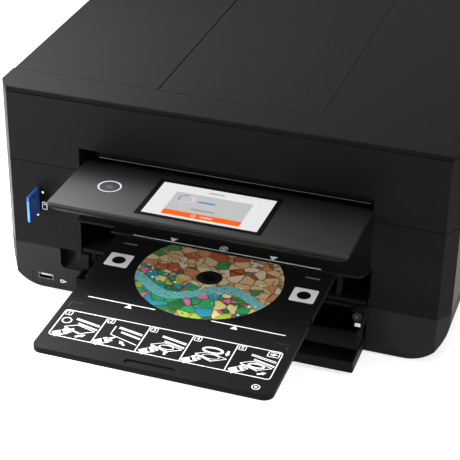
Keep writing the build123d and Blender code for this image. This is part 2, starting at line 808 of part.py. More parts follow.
# The lid's hinge stubs turn in two pairs of blocks in the rear rim.
lid_pin = 2.0
lid_lug = 3.5
lid_pocket_y = (lid_hinge_y - lid_lug - 1.5, lid_hinge_y + lid_lug + 1.0)
lid_pocket_z = (lid_hinge_z - lid_lug - 1.5, band_top + 1)
lid_lug_half = 12.0
stub = 4.0
for x in (-lid_hinge_x, lid_hinge_x):
    scanner -= block((x - lid_lug_half - 0.5, x + lid_lug_half + 0.5), lid_pocket_y, lid_pocket_z)
    stub_x = (x - lid_lug_half - stub - 0.5, x + lid_lug_half + stub + 0.5)
    scanner -= rod_x(stub_x, lid_hinge_y, lid_hinge_z, lid_pin + running_play)

# The unit is put together from an upper tray with the brow under it, a lower
# shell and the two cheeks beside the recess.
lower_zone = block((-half_width - 1, half_width + 1), (-1, case_depth + 1), (deck_level - 1, recess_top))
cheek_zone = block((-half_width - 1, half_width + 1), (-1, recess_depth), (deck_level - 1, recess_top))
scanner_lower = scanner & lower_zone
cheeks = (scanner_lower & cheek_zone).solids()
save("scanner_case", scanner - lower_zone, brow, scanner_lower - cheek_zone, *cheeks)

panes = []
pane_gap = 0.2
for x in ((glass_left, glass_right), strip):
    panes.append(
        block(
            (x[0] + pane_gap, x[1] - pane_gap),
            (glass_front + pane_gap, glass_back - pane_gap),
            (well_floor - glass_thick, well_floor),
        )
    )
save("scan_glass", *panes)

scan_mid_y = (glass_front + glass_back) / 2
rod_ends = (-half_width + wall + 2, half_width - wall - 2)
save("scan_rod", rod_x(rod_ends, scan_mid_y, scan_rod_z, scan_rod_radius))

bar_x = (strip_left - 0.5, strip_left - 0.5 + scan_bar_width)
bar_high = bed_low - 0.6
bar_y = (glass_front + glass_ledge + 1, glass_back - glass_ledge - 1)
scan_bar = block(bar_x, bar_y, (bar_high - scan_bar_height, bar_high))
scan_bar = fillet(scan_bar.edges().filter_by(Axis.Y), 1.0)
window = block(
    (bar_x[0] + 3, bar_x[1] - 3), (bar_y[0] + 4, bar_y[1] - 4), (bar_high - 1, bar_high + 1)
)
scan_bar -= window
shoe_half = 9.0
shoe_z = (scan_rod_z - scan_rod_radius + 0.3, bar_high - scan_bar_height)
scan_bar += block(bar_x, (scan_mid_y - shoe_half, scan_mid_y + shoe_half), shoe_z)
scan_bar -= rod_x((bar_x[0] - 1, bar_x[1] + 1), scan_mid_y, scan_rod_z, scan_rod_radius + running_play)
save("scan_carriage", scan_bar)

# ---- Document cover --------------------------------------------------------
lid_slab = case_slab((lid_low, lid_top)) & block(
    (-half_width, half_width), (0, lid_back), (lid_low, lid_top)
)
lid_slab = chamfer(lid_slab.faces().sort_by(Axis.Z)[-1].edges().filter_by(Axis.X).sort_by(Axis.Y)[0], 0.8)
flap_y = (lid_split_y, lid_flap_back)
lid_slab -= block((-half_width - 1, lid_split_right), flap_y, (lid_low - 1, lid_top + 1))
plug_x = (well_left + plug_gap_side, well_right - plug_gap_side)
plug_y = (well_front + plug_gap_front, well_back - plug_gap_side)
plug_low = well_floor + mat_gap + mat_thick
plug_wall = 2.0
lid_frame = lid_slab + block(plug_x, plug_y, (plug_low, lid_low))
pocket_right = lid_split_right
cavity_y = (lid_split_y + plug_wall, lid_flap_back - plug_wall)
lid_frame -= block((plug_x[0] + plug_wall, plug_x[1] - plug_wall), cavity_y, (plug_low + plug_wall, lid_low))
lid_frame -= block((plug_x[0] + plug_wall, pocket_right), cavity_y, (lid_low - 1, lid_low + 1))
support_pin_x = lid_split_left + 3.0
cover_pin_x = -half_width + 1.8
flap_mid = (lid_low + lid_top) / 2
pin_reach = 3.0
for x in (support_pin_x, cover_pin_x):
    pin_y = (lid_split_y - pin_reach, lid_flap_back + pin_reach)
    lid_frame -= rod_y(x, pin_y, flap_mid, flap_pin + running_play)
# The support's hinged edge dips into the frame as it opens.
dip = (support_pin_x - 3.6, support_pin_x + 0.6)
for y in ((lid_split_y, cavity_y[0]), (cavity_y[1], lid_flap_back)):
    lid_frame -= block(dip, y, (lid_low - 2.0, lid_low + 1))
for x in (-lid_hinge_x, lid_hinge_x):
    lug_x = (x - lid_lug_half, x + lid_lug_half)
    lid_frame += rod_x(lug_x, lid_hinge_y, lid_hinge_z, lid_lug)
    lid_frame += block(lug_x, (lid_hinge_y - lid_lug, lid_hinge_y + 2), (lid_hinge_z, lid_low + 0.5))
    stub_x = (x - lid_lug_half - stub, x + lid_lug_half + stub)
    lid_frame += rod_x(stub_x, lid_hinge_y, lid_hinge_z, lid_pin)
save("lid_frame", lid_frame)

mat_inset = 4.0
document_mat = block(
    (plug_x[0] + mat_inset, plug_x[1] - mat_inset),
    (plug_y[0] + mat_inset, plug_y[1] - mat_inset),
    (plug_low - mat_thick, plug_low),
)
save("document_mat", document_mat)


def flap(x, pin_x, rounded):
    """A thin panel in the lid with two hinge stubs at one edge."""
    ends = (flap_y[0] + flap_gap, flap_y[1] - flap_gap)
    panel = block(x, ends, (lid_low + flap_gap, lid_top))
    outer = panel.edges().filter_by(Axis.Y).sort_by(Axis.X)[:2]
    panel = fillet(outer, rounded)
    rib_z = (lid_low + flap_gap - 1.2, lid_low + flap_gap)
    for rib_y in (110.0, 170.0, 230.0):
        panel += block((max(x[0], plug_x[0]) + 8, x[1] - 8), (rib_y, rib_y + 2), rib_z)
    return panel + rod_y(pin_x, (flap_y[0] - pin_reach + 0.4, flap_y[1] + pin_reach - 0.4), flap_mid, flap_pin)


cover_x = (-half_width, lid_split_left - flap_gap)
support_x = (lid_split_left, lid_split_right - flap_gap)
save("adf_cover", flap(cover_x, cover_pin_x, 1.6))
save("document_support", flap(support_x, support_pin_x, 1.5))

# The feeder's chute and its roller lie under the cover.
chute_x = (-160.0, -72.0)
chute_floor = plug_low + plug_wall
roller_x = -116.0
adf_radius = 9.0
roller_z = 174.5
chute = block(chute_x, (60.0, 274.0), (chute_floor, roller_z + 3.0))
chute -= rod_y(roller_x, (59.0, 275.0), roller_z, adf_radius + 1.5)
chute -= block((roller_x, chute_x[1] + 1), (66.0, 268.0), (roller_z - 2.0, roller_z + 9.0))
adf_roller = rod_y(roller_x, (56.0, 278.0), roller_z, 3.0)
for y in (126.0, 156.0, 186.0):
    adf_roller += rod_y(roller_x, (y, y + 18.0), roller_z, adf_radius)
save("feeder_roller", adf_roller)
for y in (53.0, 274.0):
    bearing = block((roller_x - 5, roller_x + 5), (y, y + 7.0), (chute_floor, roller_z + 4.5))
    bearing -= rod_y(roller_x, (y - 1, y + 8.0), roller_z, 3.0 + running_play)
    chute += bearing
save("feeder_chute", chute)

# ---- Cassettes -------------------------------------------------------------
low_x = (bay_left + slide_gap, bay_right - slide_gap)
lower = block(low_x, (low_front, low_back), (low_bottom, low_top))
lower = fillet(lower.edges().filter_by(Axis.Z).sort_by(Axis.Y)[:2], 2.0)
lower -= block(
    (low_x[0] + cassette_wall, low_x[1] - cassette_wall),
    (low_front + cassette_wall, low_back - cassette_wall),
    (low_bottom + cassette_wall, low_top + 1),
)
slot_half = 1.5
slot_y = 88.0
track_gap = 0.3
lower -= block(
    (bay_mid - 108.0, bay_mid + 108.0),
    (slot_y - slot_half, slot_y + slot_half),
    (low_bottom + 1.0, low_bottom + cassette_wall + 1),
)
save("lower_cassette", lower)


def edge_guide(edge, side, z, slot_y):
    """A paper guide: an upright plate on a foot with a tongue in the slot."""
    plate = sorted((edge, edge + side * guide_plate))
    foot = sorted((edge - side * 14.0, edge + side * guide_plate))
    y = (slot_y - guide_plate_long / 2, slot_y + guide_plate_long / 2)
    piece = block(plate, y, z)
    piece += block(foot, (slot_y - 20.0, slot_y + 20.0), (z[0], z[0] + 1.0))
    tongue = sorted((edge - side * 12.0, edge))
    piece += block(tongue, (slot_y - slot_half + track_gap, slot_y + slot_half - track_gap), (z[0] - 0.8, z[0]))
    return piece


low_floor = low_bottom + cassette_wall
low_guide_z = (low_floor + 0.1, low_top - 0.4)
save("lower_guide_left", edge_guide(bay_mid - low_guide_half, -1, low_guide_z, slot_y))
save("lower_guide_right", edge_guide(bay_mid + low_guide_half, 1, low_guide_z, slot_y))

up_x = (bay_left + up_inset, bay_right - up_inset)
upper = block(up_x, (up_front + 3.0, up_back), (up_bottom, up_top))
upper -= block(
    (up_x[0] + cassette_wall, up_x[1] - cassette_wall),
    (up_front, up_back - cassette_wall),
    (up_bottom + cassette_wall, up_top + 1),
)
# Its front is a concave wall, deepest at half height, that the fingers pull.
front_mid = (up_bottom + up_top) / 2
front_arc = ThreePointArc((0, up_front, up_top), (0, up_front + 3.0, front_mid), (0, up_front, up_bottom))
back_arc = ThreePointArc(
    (0, up_front + 2.0, up_bottom), (0, up_front + 5.0, front_mid), (0, up_front + 2.0, up_top)
)
front_face = make_face(
    front_arc
    + Line((0, up_front, up_bottom), (0, up_front + 2.0, up_bottom))
    + back_arc
    + Line((0, up_front + 2.0, up_top), (0, up_front, up_top))
)
upper += Pos(up_x[0], 0, 0) * extrude(front_face, amount=up_x[1] - up_x[0], dir=(1, 0, 0))
for edge in (up_x[0], up_x[1] - cassette_wall):
    upper += block((edge, edge + cassette_wall), (up_front + 1.0, up_front + 5.0), (up_bottom, up_top))
upper += block(
    (up_x[0] + cassette_wall, up_x[1] - cassette_wall), (up_front + 2.0, up_front + 5.0), (up_bottom, up_bottom + cassette_wall)
)
up_slot_y = 70.0
upper -= block(
    (bay_mid - 100.0, bay_mid + 100.0),
    (up_slot_y - slot_half, up_slot_y + slot_half),
    (up_bottom + 1.0, up_bottom + cassette_wall + 1),
)
stop_y = (-9.0, -7.5)
upper += block((bay_mid + 98.0, up_x[1] - cassette_wall), stop_y, (up_bottom + cassette_wall, up_bottom + 10.0))
save("upper_cassette", upper)
up_floor = up_bottom + cassette_wall
up_guide_z = (up_floor + 0.1, up_top - 1.5)
save("upper_guide_left", edge_guide(bay_mid - up_guide_half, -1, up_guide_z, up_slot_y))
save("upper_guide_right", edge_guide(bay_mid + up_guide_half, 1, up_guide_z, up_slot_y))

# ---- Output tray with its racks --------------------------------------------
out_x = (bay_left + 2 * slide_gap, bay_right - 2 * slide_gap)
output_tray = block(out_x, (out_front, out_back), (out_low, out_top))
output_tray = fillet(output_tray.edges().filter_by(Axis.Z).sort_by(Axis.Y)[:2], 3.0)
for stripe in range(9):
    x = bay_mid - 88.0 + 22.0 * stripe
    output_tray += block((x - 0.8, x + 0.8), (out_front + 12, out_back - 12), (out_top, out_top + 0.8))
grip_notch = Pos(bay_mid, out_front, out_low - 1) * Cylinder(14.0, out_thick + 3, align=(Align.CENTER, Align.CENTER, Align.MIN))
output_tray -= grip_notch
rack_pitch = rack_module * pi
pinion_pitch = rack_module * pinion_teeth / 2
rack_line = out_low - 0.85 * rack_module - 0.15
pinion_z = rack_line - pinion_pitch
rack_teeth = int((out_travel + 12.0) / rack_pitch)
for side in (-1, 1):
    ends = sorted((bay_mid + side * (rack_half - rack_width / 2), bay_mid + side * (rack_half + rack_width / 2)))
    for tooth in range(rack_teeth):
        y = pinion_y + (tooth - 0.5) * rack_pitch
        half_tip = tooth_share * rack_pitch / 4
        half_root = tooth_share * rack_pitch / 1.45
        output_tray += side_profile(
            [
                (y - half_root, out_low + 0.2),
                (y - half_root, out_low),
                (y - half_tip, rack_line - 0.85 * rack_module),
                (y + half_tip, rack_line - 0.85 * rack_module),
                (y + half_root, out_low),
                (y + half_root, out_low + 0.2),
            ],
            ends,
        )
save("output_tray", output_tray)

shaft_reach = rack_half + rack_width / 2 + 7.0
drive_shaft = rod_x((bay_mid - shaft_reach, bay_mid + shaft_reach), pinion_y, pinion_z, pinion_shaft)
pinion_turn = 0.5
for side in (-1, 1):
    wheel = gear(pinion_teeth, rack_module, rack_width - 1.0, 0, pinion_turn)
    drive_shaft += Pos(bay_mid + side * rack_half - (rack_width - 1.0) / 2, pinion_y, pinion_z) * wheel
save("tray_drive_shaft", drive_shaft)

bracket_inner = rack_half + rack_width / 2 + 0.8
brackets = []
for side, bay_edge, front in ((-1, bay_left, -5.0), (1, bay_right, -12.0)):
    x = sorted((bay_mid + side * bracket_inner, bay_edge))
    bracket = side_profile(
        [
            (front, up_top + 1.2),
            (12.0, up_top + 1.2),
            (12.0, pinion_z + 1.0),
            (8.0, out_low - 1.0),
            (-4.0, out_low - 1.0),
            (front, pinion_z - 2.0),
        ],
        x,
    )
    bore_x = (bay_mid + side * bracket_inner, bay_mid + side * (shaft_reach + 0.5))
    brackets.append(bracket - rod_x(sorted(bore_x), pinion_y, pinion_z, pinion_shaft + running_play))
save("drive_brackets", *brackets)

# ---- Print mechanism frame -------------------------------------------------
frame_plate = block((frame_left, frame_right), (frame_back, frame_back + sheet), (frame_bottom, frame_top))
frame_plate -= block(
    (tray_left - 7, tray_right + 7), (frame_back - 1, frame_back + 3), (frame_bottom + sheet, tray_top + 8)
)
for x in ((frame_left, side_left), (side_right + sheet, frame_right)):
    frame_plate -= block(x, (frame_back - 1, frame_back + 3), (frame_bottom - 1, sill_height + 2))
frame = frame_plate
frame += block(
    (bay_left, bay_right), (frame_front, frame_back), (frame_bottom, frame_bottom + sheet)
)
side_high = 78.0
for x in (side_left, side_right):
    frame += block((x, x + sheet), (frame_front, frame_back), (frame_bottom, side_high))
rail_y = 72.0
for x in (frame_left, frame_right - sheet):
    frame += block((x, x + sheet), (rail_y, frame_back), (90.0, frame_top))
frame += block((frame_left, frame_right), (rail_y, rail_y + sheet), (94.0, 110.0))
gear_step = train_module * train_teeth
exit_y = feed_y - (train_gears - 1) * gear_step
roller_z_low = tray_bottom - roller_gap - roller_radius
for index in range(train_gears):
    y = feed_y - index * gear_step
    hole = (3.0 + running_play) if index in (0, train_gears - 1) else 2.0
    frame -= rod_x((side_left - 1, side_left + sheet + 1), y, roller_z_low, hole)
for y in (feed_y, exit_y):
    frame -= rod_x((side_right - 1, side_right + sheet + 1), y, roller_z_low, 3.0 + running_play)
frame -= rod_x((frame_left - 1, frame_right + 1), shaft_y, shaft_z, shaft_radius)
motor_x = -150.0
frame -= rod_y(motor_x, (frame_back - 1, frame_back + 3), belt_z, 3.0)
save("carriage_shaft", rod_x((frame_left, frame_right), shaft_y, shaft_z, shaft_radius))

# ---- Rollers and gear train ------------------------------------------------
gear_gap = 0.6
gear_x = side_left - gear_gap - train_width
roller_ends = (gear_x, side_right + sheet + 1.5)


def paper_roller(y, turned):
    """A steel shaft with its rubber sleeves and its gear."""
    roller = rod_x(roller_ends, y, roller_z_low, 3.0)
    start = side_left + sheet + 3.0
    sleeve = (side_right - side_left - sheet - 6.0 - 4 * 6.0) / 5
    for index in range(5):
        x = start + index * (sleeve + 6.0)
        roller += rod_x((x, x + sleeve), y, roller_z_low, roller_radius)
    wheel = gear(train_teeth, train_module, train_width, 0, turned)
    return roller + Pos(gear_x, y, roller_z_low) * wheel


save("feed_roller", paper_roller(feed_y, 0))
save("exit_roller", paper_roller(exit_y, 0))
axles = []
for index in range(1, train_gears - 1):
    y = feed_y - index * gear_step
    turned = 0.5 if index % 2 else 0.0
    wheel = gear(train_teeth, train_module, train_width, 2.0 + running_play, turned)
    save(f"idler_gear_{index}", Pos(gear_x, y, roller_z_low) * wheel)
    axles.append(rod_x((gear_x - 0.8, side_left + sheet), y, roller_z_low, 2.0))
for axle in axles:
    frame += axle
save("mechanism_frame", frame)

# Pinch rollers and star wheels are held up clear of the tray.
pinch_low = tray_top + 1.8
pinch_radius = 4.0
pinch = []
for index in range(4):
    x = side_left + 24.0 + index * 52.0
    holder = side_profile(
        [
            (frame_back, 86.0),
            (frame_back, 91.0),
            (feed_y + 2, 91.0),
            (feed_y - 3, pinch_low + pinch_radius + 1.0),
            (feed_y + 3, pinch_low + pinch_radius - 1.0),
        ],
        (x + 12.0, x + 16.0),
    )
    holder += rod_x((x + 16.0, x + 40.0), feed_y, pinch_low + pinch_radius, pinch_radius)
    holder += rod_x((x + 12.0, x + 16.0), feed_y, pinch_low + pinch_radius, 2.0)
    pinch.append(holder)
save("pinch_rollers", *pinch)

star_teeth = 12
star_module = 0.73
star_radius = star_module * (star_teeth / 2 + 0.85)
star_z = tray_top + 2.4 + star_radius
star_bar = block((side_left, side_right + sheet), (exit_y - 7, exit_y - 5), (star_z + 1, 94.0))
star_bar += block((side_left, side_right + sheet), (exit_y - 7, rail_y + sheet), (92.0, 94.0))
for index in range(8):
    x = side_left + 16.0 + index * 28.0
    star_bar += Pos(x, exit_y, star_z) * gear(star_teeth, star_module, 1.2, 0, 0)
    star_bar += rod_x((x - 2.0, x + 3.2), exit_y, star_z, 1.5)
    star_bar += block((x - 2.0, x - 0.8), (exit_y - 5, exit_y + 1), (star_z - 1, star_z + 3))
save("star_wheel_bar", star_bar)

# ---- Platen ----------------------------------------------------------------
platen_y = (102.0, 146.0)
platen_top = tray_bottom - 0.5
platen = block((side_left + sheet, side_right), platen_y, (platen_top - 7.0, platen_top - 3.0))
for index in range(14):
    x = side_left + 12.0 + index * 15.6
    platen += block((x, x + 1.6), platen_y, (platen_top - 3.0, platen_top))
for y in platen_y:
    edge = sorted((y, y + (2.0 if y == platen_y[0] else -2.0)))
    platen += block((side_left + sheet, side_right), edge, (frame_bottom + sheet, platen_top - 3.0))
save("platen", platen)

# ---- Carriage --------------------------------------------------------------
carriage_right = carriage_left + carriage_width
shell_x = (carriage_left, carriage_right)
carriage = block(shell_x, (carriage_front, carriage_back), (carriage_bottom, carriage_top))
bin_wall = (carriage_width - cartridges * (cartridge_width + 0.8)) / (cartridges + 1)
bin_floor = carriage_bottom + 3.0
bins = []
for index in range(cartridges):
    x = carriage_left + bin_wall + index * (cartridge_width + 0.8 + bin_wall)
    bins.append(x)
    carriage -= block(
        (x, x + cartridge_width + 0.8), (carriage_front + 2, carriage_back - 2), (bin_floor, carriage_top + 1)
    )
boss_y = (carriage_back, shaft_y + 8.0)
carriage += block((carriage_left + 4, carriage_right - 4), boss_y, (shaft_z - 8.0, shaft_z + 8.0))
carriage -= rod_x((carriage_left, carriage_right), shaft_y, shaft_z, shaft_radius + running_play)
rail_top = 110.0
foot_x = (carriage_left + 20, carriage_right - 20)
carriage += block(foot_x, (rail_y - 2.0, carriage_front), (rail_top + 0.3, rail_top + 3.0))
low_run = belt_z - pulley_radius - belt_thick
clamp_x = (carriage_left + 30, carriage_right - 30)
for z in ((low_run - 2.4, low_run - 0.5), (low_run + belt_thick + 0.5, low_run + belt_thick + 2.4)):
    carriage += block(clamp_x, (boss_y[1], belt_y + belt_width), z)
head_x = (carriage_left + 30.0, carriage_right - 16.0)
head_y = (carriage_front + 16.0, carriage_front + 46.0)
save("carriage", carriage)

print_head = block(head_x, head_y, (tray_top + head_gap + 0.6, carriage_bottom))
print_head += block(
    (head_x[0] + 3, head_x[1] - 3), (head_y[0] + 3, head_y[1] - 3), (tray_top + head_gap, tray_top + head_gap + 0.6)
)
save("print_head", print_head)

inks = []
for x in bins:
    ink = block(
        (x + 0.4, x + 0.4 + cartridge_width), (carriage_front + 2.4, carriage_back - 2.4), (bin_floor, carriage_top + 1.5)
    )
    ink = fillet(ink.edges().filter_by(Axis.X).group_by(Axis.Z)[-1], 3.0)
    inks.append(ink)
save("ink_cartridges", *inks)

# ---- Carriage drive --------------------------------------------------------
idler_x = 178.0
belt_mid_y = belt_y + belt_width / 2


def stadium(radius):
    """The belt's loop round both pulleys, seen from the front."""
    length = idler_x - motor_x + 2 * radius
    return Pos((idler_x + motor_x) / 2, belt_z) * SlotOverall(length, 2 * radius)


belt_plan = Plane.XZ * (stadium(pulley_radius + belt_thick) - stadium(pulley_radius))
belt = Pos(0, belt_y + belt_width, 0) * extrude(belt_plan, amount=belt_width)
save("carriage_belt", belt)
pulleys = []
for x in (motor_x, idler_x):
    wheel = rod_y(x, (belt_y, belt_y + belt_width), belt_z, pulley_radius)
    wheel += rod_y(x, (belt_y - 1.0, belt_y), belt_z, pulley_radius + 2)
    wheel += rod_y(x, (belt_y + belt_width, frame_back), belt_z, 2.5)
    pulleys.append(wheel)
save("belt_pulleys", *pulleys)
motor = rod_y(motor_x, (frame_back + sheet, frame_back + sheet + 32.0), belt_z, 14.0)
motor = chamfer(motor.edges().sort_by(Axis.Y)[-1], 1.5)
motor += rod_y(motor_x, (frame_back, frame_back + sheet), belt_z, 3.0)

strip_y = 168.0
encoder = block((frame_left + sheet, frame_right - sheet), (strip_y, strip_y + 0.4), (112.0, 119.0))
save("encoder_strip", encoder)

feed_motor_y = 196.0
feed_motor = rod_x((-160.0, bay_left - wall), feed_motor_y, 58.0, 12.0)
feed_motor = chamfer(feed_motor.edges().sort_by(Axis.X)[0], 1.5)
save("drive_motors", motor, feed_motor)

# ---- Maintenance station and waste pad -------------------------------------
station_x = (bay_right + wall + 0.5, 184.0)
station_foot = half_width - side_radius - 2.0
station_y = (92.0, 142.0)
station_rim = 2.0
cap_floor = tray_top - 9.0
station = block(station_x, station_y, (base_top, tray_top - 6.0))
station += block((station_x[0], station_foot), station_y, (floor_top, base_top))
station -= block(
    (station_x[0] + station_rim, station_x[1] - station_rim),
    (station_y[0] + station_rim, station_y[1] - station_rim),
    (cap_floor, tray_top),
)
cap = block((head_x[0] + 1, head_x[1] - 1), (head_y[0] + 1, head_y[1] - 1), (cap_floor, tray_top + head_gap - 0.6))
cap -= block((head_x[0] + 3, head_x[1] - 3), (head_y[0] + 3, head_y[1] - 3), (tray_top - 3.0, tray_top + 5.0))
save("maintenance_station", station + cap)
waste_pad = block((station_x[0], station_foot), (200.0, 300.0), (floor_top, floor_top + 30.0))
save("waste_ink_pad", waste_pad)

# ---- Rear cover and turning roller -----------------------------------------
cover_x_ends = (rear_cover_left, rear_cover_right)
rear_cover = block(cover_x_ends, (rear_cover_front, case_depth), (rear_cover_low, rear_cover_high))
rear_cover -= rod_x(
    (rear_cover_left - 1, rear_cover_right + 1), turn_roller_y, turn_roller_z, rear_guide_radius
)
rear_cover -= block(
    (rear_cover_left + wall, rear_cover_right - wall),
    (turn_roller_y + rear_guide_radius + wall, case_depth - wall),
    (rear_cover_low - 1, rear_cover_high - wall),
)
# Two finger grips are scooped into bosses behind the outer wall.
grip_radius = 9.0
grip_half = 12.0
grip_z = 60.0
cover_slab = block(cover_x_ends, (rear_cover_front, case_depth), (rear_cover_low, rear_cover_high))
for side in (-1, 1):
    x = (rear_cover_left + rear_cover_right) / 2 + side * 70.0
    boss_x = (x - grip_half - wall, x + grip_half + wall)
    rear_cover += rod_x(boss_x, case_depth, grip_z, grip_radius + wall) & cover_slab
    rear_cover -= rod_x((x - grip_half, x + grip_half), case_depth, grip_z, grip_radius)
save("rear_cover", rear_cover)

turn_roller = rod_x(
    (turn_x[0] + 0.3, turn_x[1] - 0.3), turn_roller_y, turn_roller_z, turn_shaft
)
for index in range(3):
    x = bay_mid - 80.0 + index * 60.0
    turn_roller += rod_x((x, x + 40.0), turn_roller_y, turn_roller_z, turn_roller_radius)
save("turn_roller", turn_roller)
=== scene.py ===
from math import atan2, cos, hypot, pi, radians, sin

import bpy
from mathutils import Matrix, Vector


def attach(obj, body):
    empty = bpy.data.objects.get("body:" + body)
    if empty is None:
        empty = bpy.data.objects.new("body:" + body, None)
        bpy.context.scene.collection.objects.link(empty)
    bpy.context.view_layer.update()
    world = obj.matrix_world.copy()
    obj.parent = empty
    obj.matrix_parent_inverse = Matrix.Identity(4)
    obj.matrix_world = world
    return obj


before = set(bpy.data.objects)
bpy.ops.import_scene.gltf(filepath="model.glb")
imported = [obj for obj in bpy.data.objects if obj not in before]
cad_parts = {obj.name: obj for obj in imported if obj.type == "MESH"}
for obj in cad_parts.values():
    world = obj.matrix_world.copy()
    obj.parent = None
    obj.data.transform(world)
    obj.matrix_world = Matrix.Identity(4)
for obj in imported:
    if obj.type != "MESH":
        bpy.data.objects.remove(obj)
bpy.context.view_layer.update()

# ---- Camera ----------------------------------------------------------------
# A long lens from the front right, above the printer, level with its corners.
# The picture was cut from a wider one, so its middle is off the lens's axis.
camera_place = Vector((0.342195, -1.101221, 0.725998))
camera_aim = Vector((-0.0229, -0.07725, 0.07259))
camera_roll = radians(0.10)

lens_data = bpy.data.cameras.new("camera")
lens_data.sensor_width = 36.0
lens_data.lens = 119.42
lens_data.shift_x = 0.0827
lens_data.shift_y = 0.0301
lens_data.clip_start = 0.05
camera = bpy.data.objects.new("camera", lens_data)
bpy.context.collection.objects.link(camera)
camera.rotation_mode = "QUATERNION"
camera.location = camera_place
sight = (camera_aim - camera_place).to_track_quat("-Z", "Y")
camera.rotation_quaternion = sight @ Matrix.Rotation(camera_roll, 3, "Z").to_quaternion()
bpy.context.scene.camera = camera
bpy.context.scene.view_settings.view_transform = "Standard"

# ---- Studio ----------------------------------------------------------------
# A white surround, a pale floor that keeps the printer's shadow, and soft
# lamps: one far behind, a small one close over the panel's left end, one at
# each side and one overhead.
class Tone:
    """One socket of a finish, so that what it works out reads as a sum."""

    def __init__(self, tree, socket=None):
        self.tree = tree
        self.socket = socket

    def node(self, kind, settings=None, links=None, out=0):
        """Any node: its type, its settings, and what its sockets are given."""
        made = self.tree.nodes.new(kind)
        for key, value in (settings or {}).items():
            if key == "stops":
                stops = made.color_ramp.elements
                while len(stops) < len(value):
                    stops.new(1.0)
                for stop, (place, colour) in zip(stops, value):
                    stop.position = place
                    stop.color = (*colour, 1.0)
            elif key == "steps":
                made.color_ramp.interpolation = value
            else:
                setattr(made, key, value)
        for key, value in (links or {}).items():
            if isinstance(value, Tone):
                self.tree.links.new(value.socket, made.inputs[key])
            else:
                made.inputs[key].default_value = value
        return Tone(self.tree, made.outputs[out])

    def beside(self, key):
        """Another output of the node that this one comes from."""
        return Tone(self.tree, self.socket.node.outputs[key])

    def maths(self, operation, first, second=0.0):
        return self.node("ShaderNodeMath", {"operation": operation}, {0: first, 1: second})

    def __add__(self, other):
        return self.maths("ADD", self, other)

    def __radd__(self, other):
        return self.maths("ADD", other, self)

    def __sub__(self, other):
        return self.maths("SUBTRACT", self, other)

    def __rsub__(self, other):
        return self.maths("SUBTRACT", other, self)

    def __mul__(self, other):
        return self.maths("MULTIPLY", self, other)

    def __rmul__(self, other):
        return self.maths("MULTIPLY", other, self)

    def __gt__(self, other):
        return self.maths("GREATER_THAN", self, other)

    def __lt__(self, other):
        return self.maths("LESS_THAN", self, other)

    def into(self, node, key):
        self.tree.links.new(self.socket, node.inputs[key])


def mixed(share, low, high):
    """A colour between two others, by a share from 0 to 1."""
    return share.node(
        "ShaderNodeMix", {"data_type": "RGBA"}, {0: share, 6: low, 7: high}, out=2
    )


def looked_at(tree):
    """1 for what the camera sees, by itself or in metal and glass, and else 0."""
    ray = Tone(tree).node("ShaderNodeLightPath")
    return ray + ray.beside("Is Glossy Ray") + ray.beside("Is Transmission Ray") > 0.5


white = (1.0, 1.0, 1.0, 1.0)
world = bpy.data.worlds.new("studio")
bpy.context.scene.world = world
world.use_nodes = True
sky = world.node_tree
room = sky.nodes["Background"]
room_light = 0.4
(looked_at(sky) * (1.0 - room_light) + room_light).into(room, "Strength")
room.inputs["Color"].default_value = white

floor_size = 12.0
floor_gap = 0.0002
floor_lift = 0.6
bpy.ops.object.select_all(action="DESELECT")
bpy.ops.mesh.primitive_plane_add(size=floor_size, location=(0, 0, -floor_gap))
floor = bpy.context.object
floor.name = "floor"
paper = bpy.data.materials.new("pale_floor")
paper.use_nodes = True
paper_tree = paper.node_tree
paper_skin = paper_tree.nodes["Principled BSDF"]
paper_skin.inputs["Base Color"].default_value = (0.7, 0.7, 0.7, 1.0)
paper_skin.inputs["Roughness"].default_value = 0.9
paper_skin.inputs["Specular IOR Level"].default_value = 0.0
paper_skin.inputs["Emission Color"].default_value = white
(looked_at(paper_tree) * floor_lift).into(paper_skin, "Emission Strength")
floor.data.materials.append(paper)
bpy.ops.object.transform_apply(location=True)


def lamp(name, place, aim, size, power):
    """A square soft lamp turned towards a point."""
    light = bpy.data.lights.new(name, "AREA")
    light.shape = "RECTANGLE"
    light.size, light.size_y = size
    light.energy = power
    holder = bpy.data.objects.new(name, light)
    bpy.context.collection.objects.link(holder)
    holder.location = place
    holder.rotation_mode = "QUATERNION"
    holder.rotation_quaternion = (Vector(aim) - Vector(place)).to_track_quat("-Z", "Y")


lamp("back_lamp", (-1.75, 1.75, 1.25), (-0.1, 0.0, 0.15), (0.8, 0.6), 26.0)
lamp("near_lamp", (-0.25, 0.0, 0.42), (-0.12, -0.1, 0.13), (0.15, 0.15), 4.2)
lamp("left_lamp", (-0.75, -0.75, 0.24), (-0.18, 0, 0.09), (0.4, 0.4), 14.0)
lamp("right_lamp", (1.9, -0.3, 0.6), (0.1, 0, 0.1), (0.6, 1.0), 26.0)
lamp("top_lamp", (0.2, -0.3, 2.0), (0, 0, 0), (1.2, 1.2), 9.0)


# ---- Lower case ------------------------------------------------------------
# A fine-textured black moulding that stands on four rubber feet, which are
# pressed into pockets in its floor.
front_face = -0.07725


def spot(x, y, z):
    """A place in millimetres from the middle of the front face, at table height."""
    return Vector((x / 1000, y / 1000 + front_face, z / 1000))


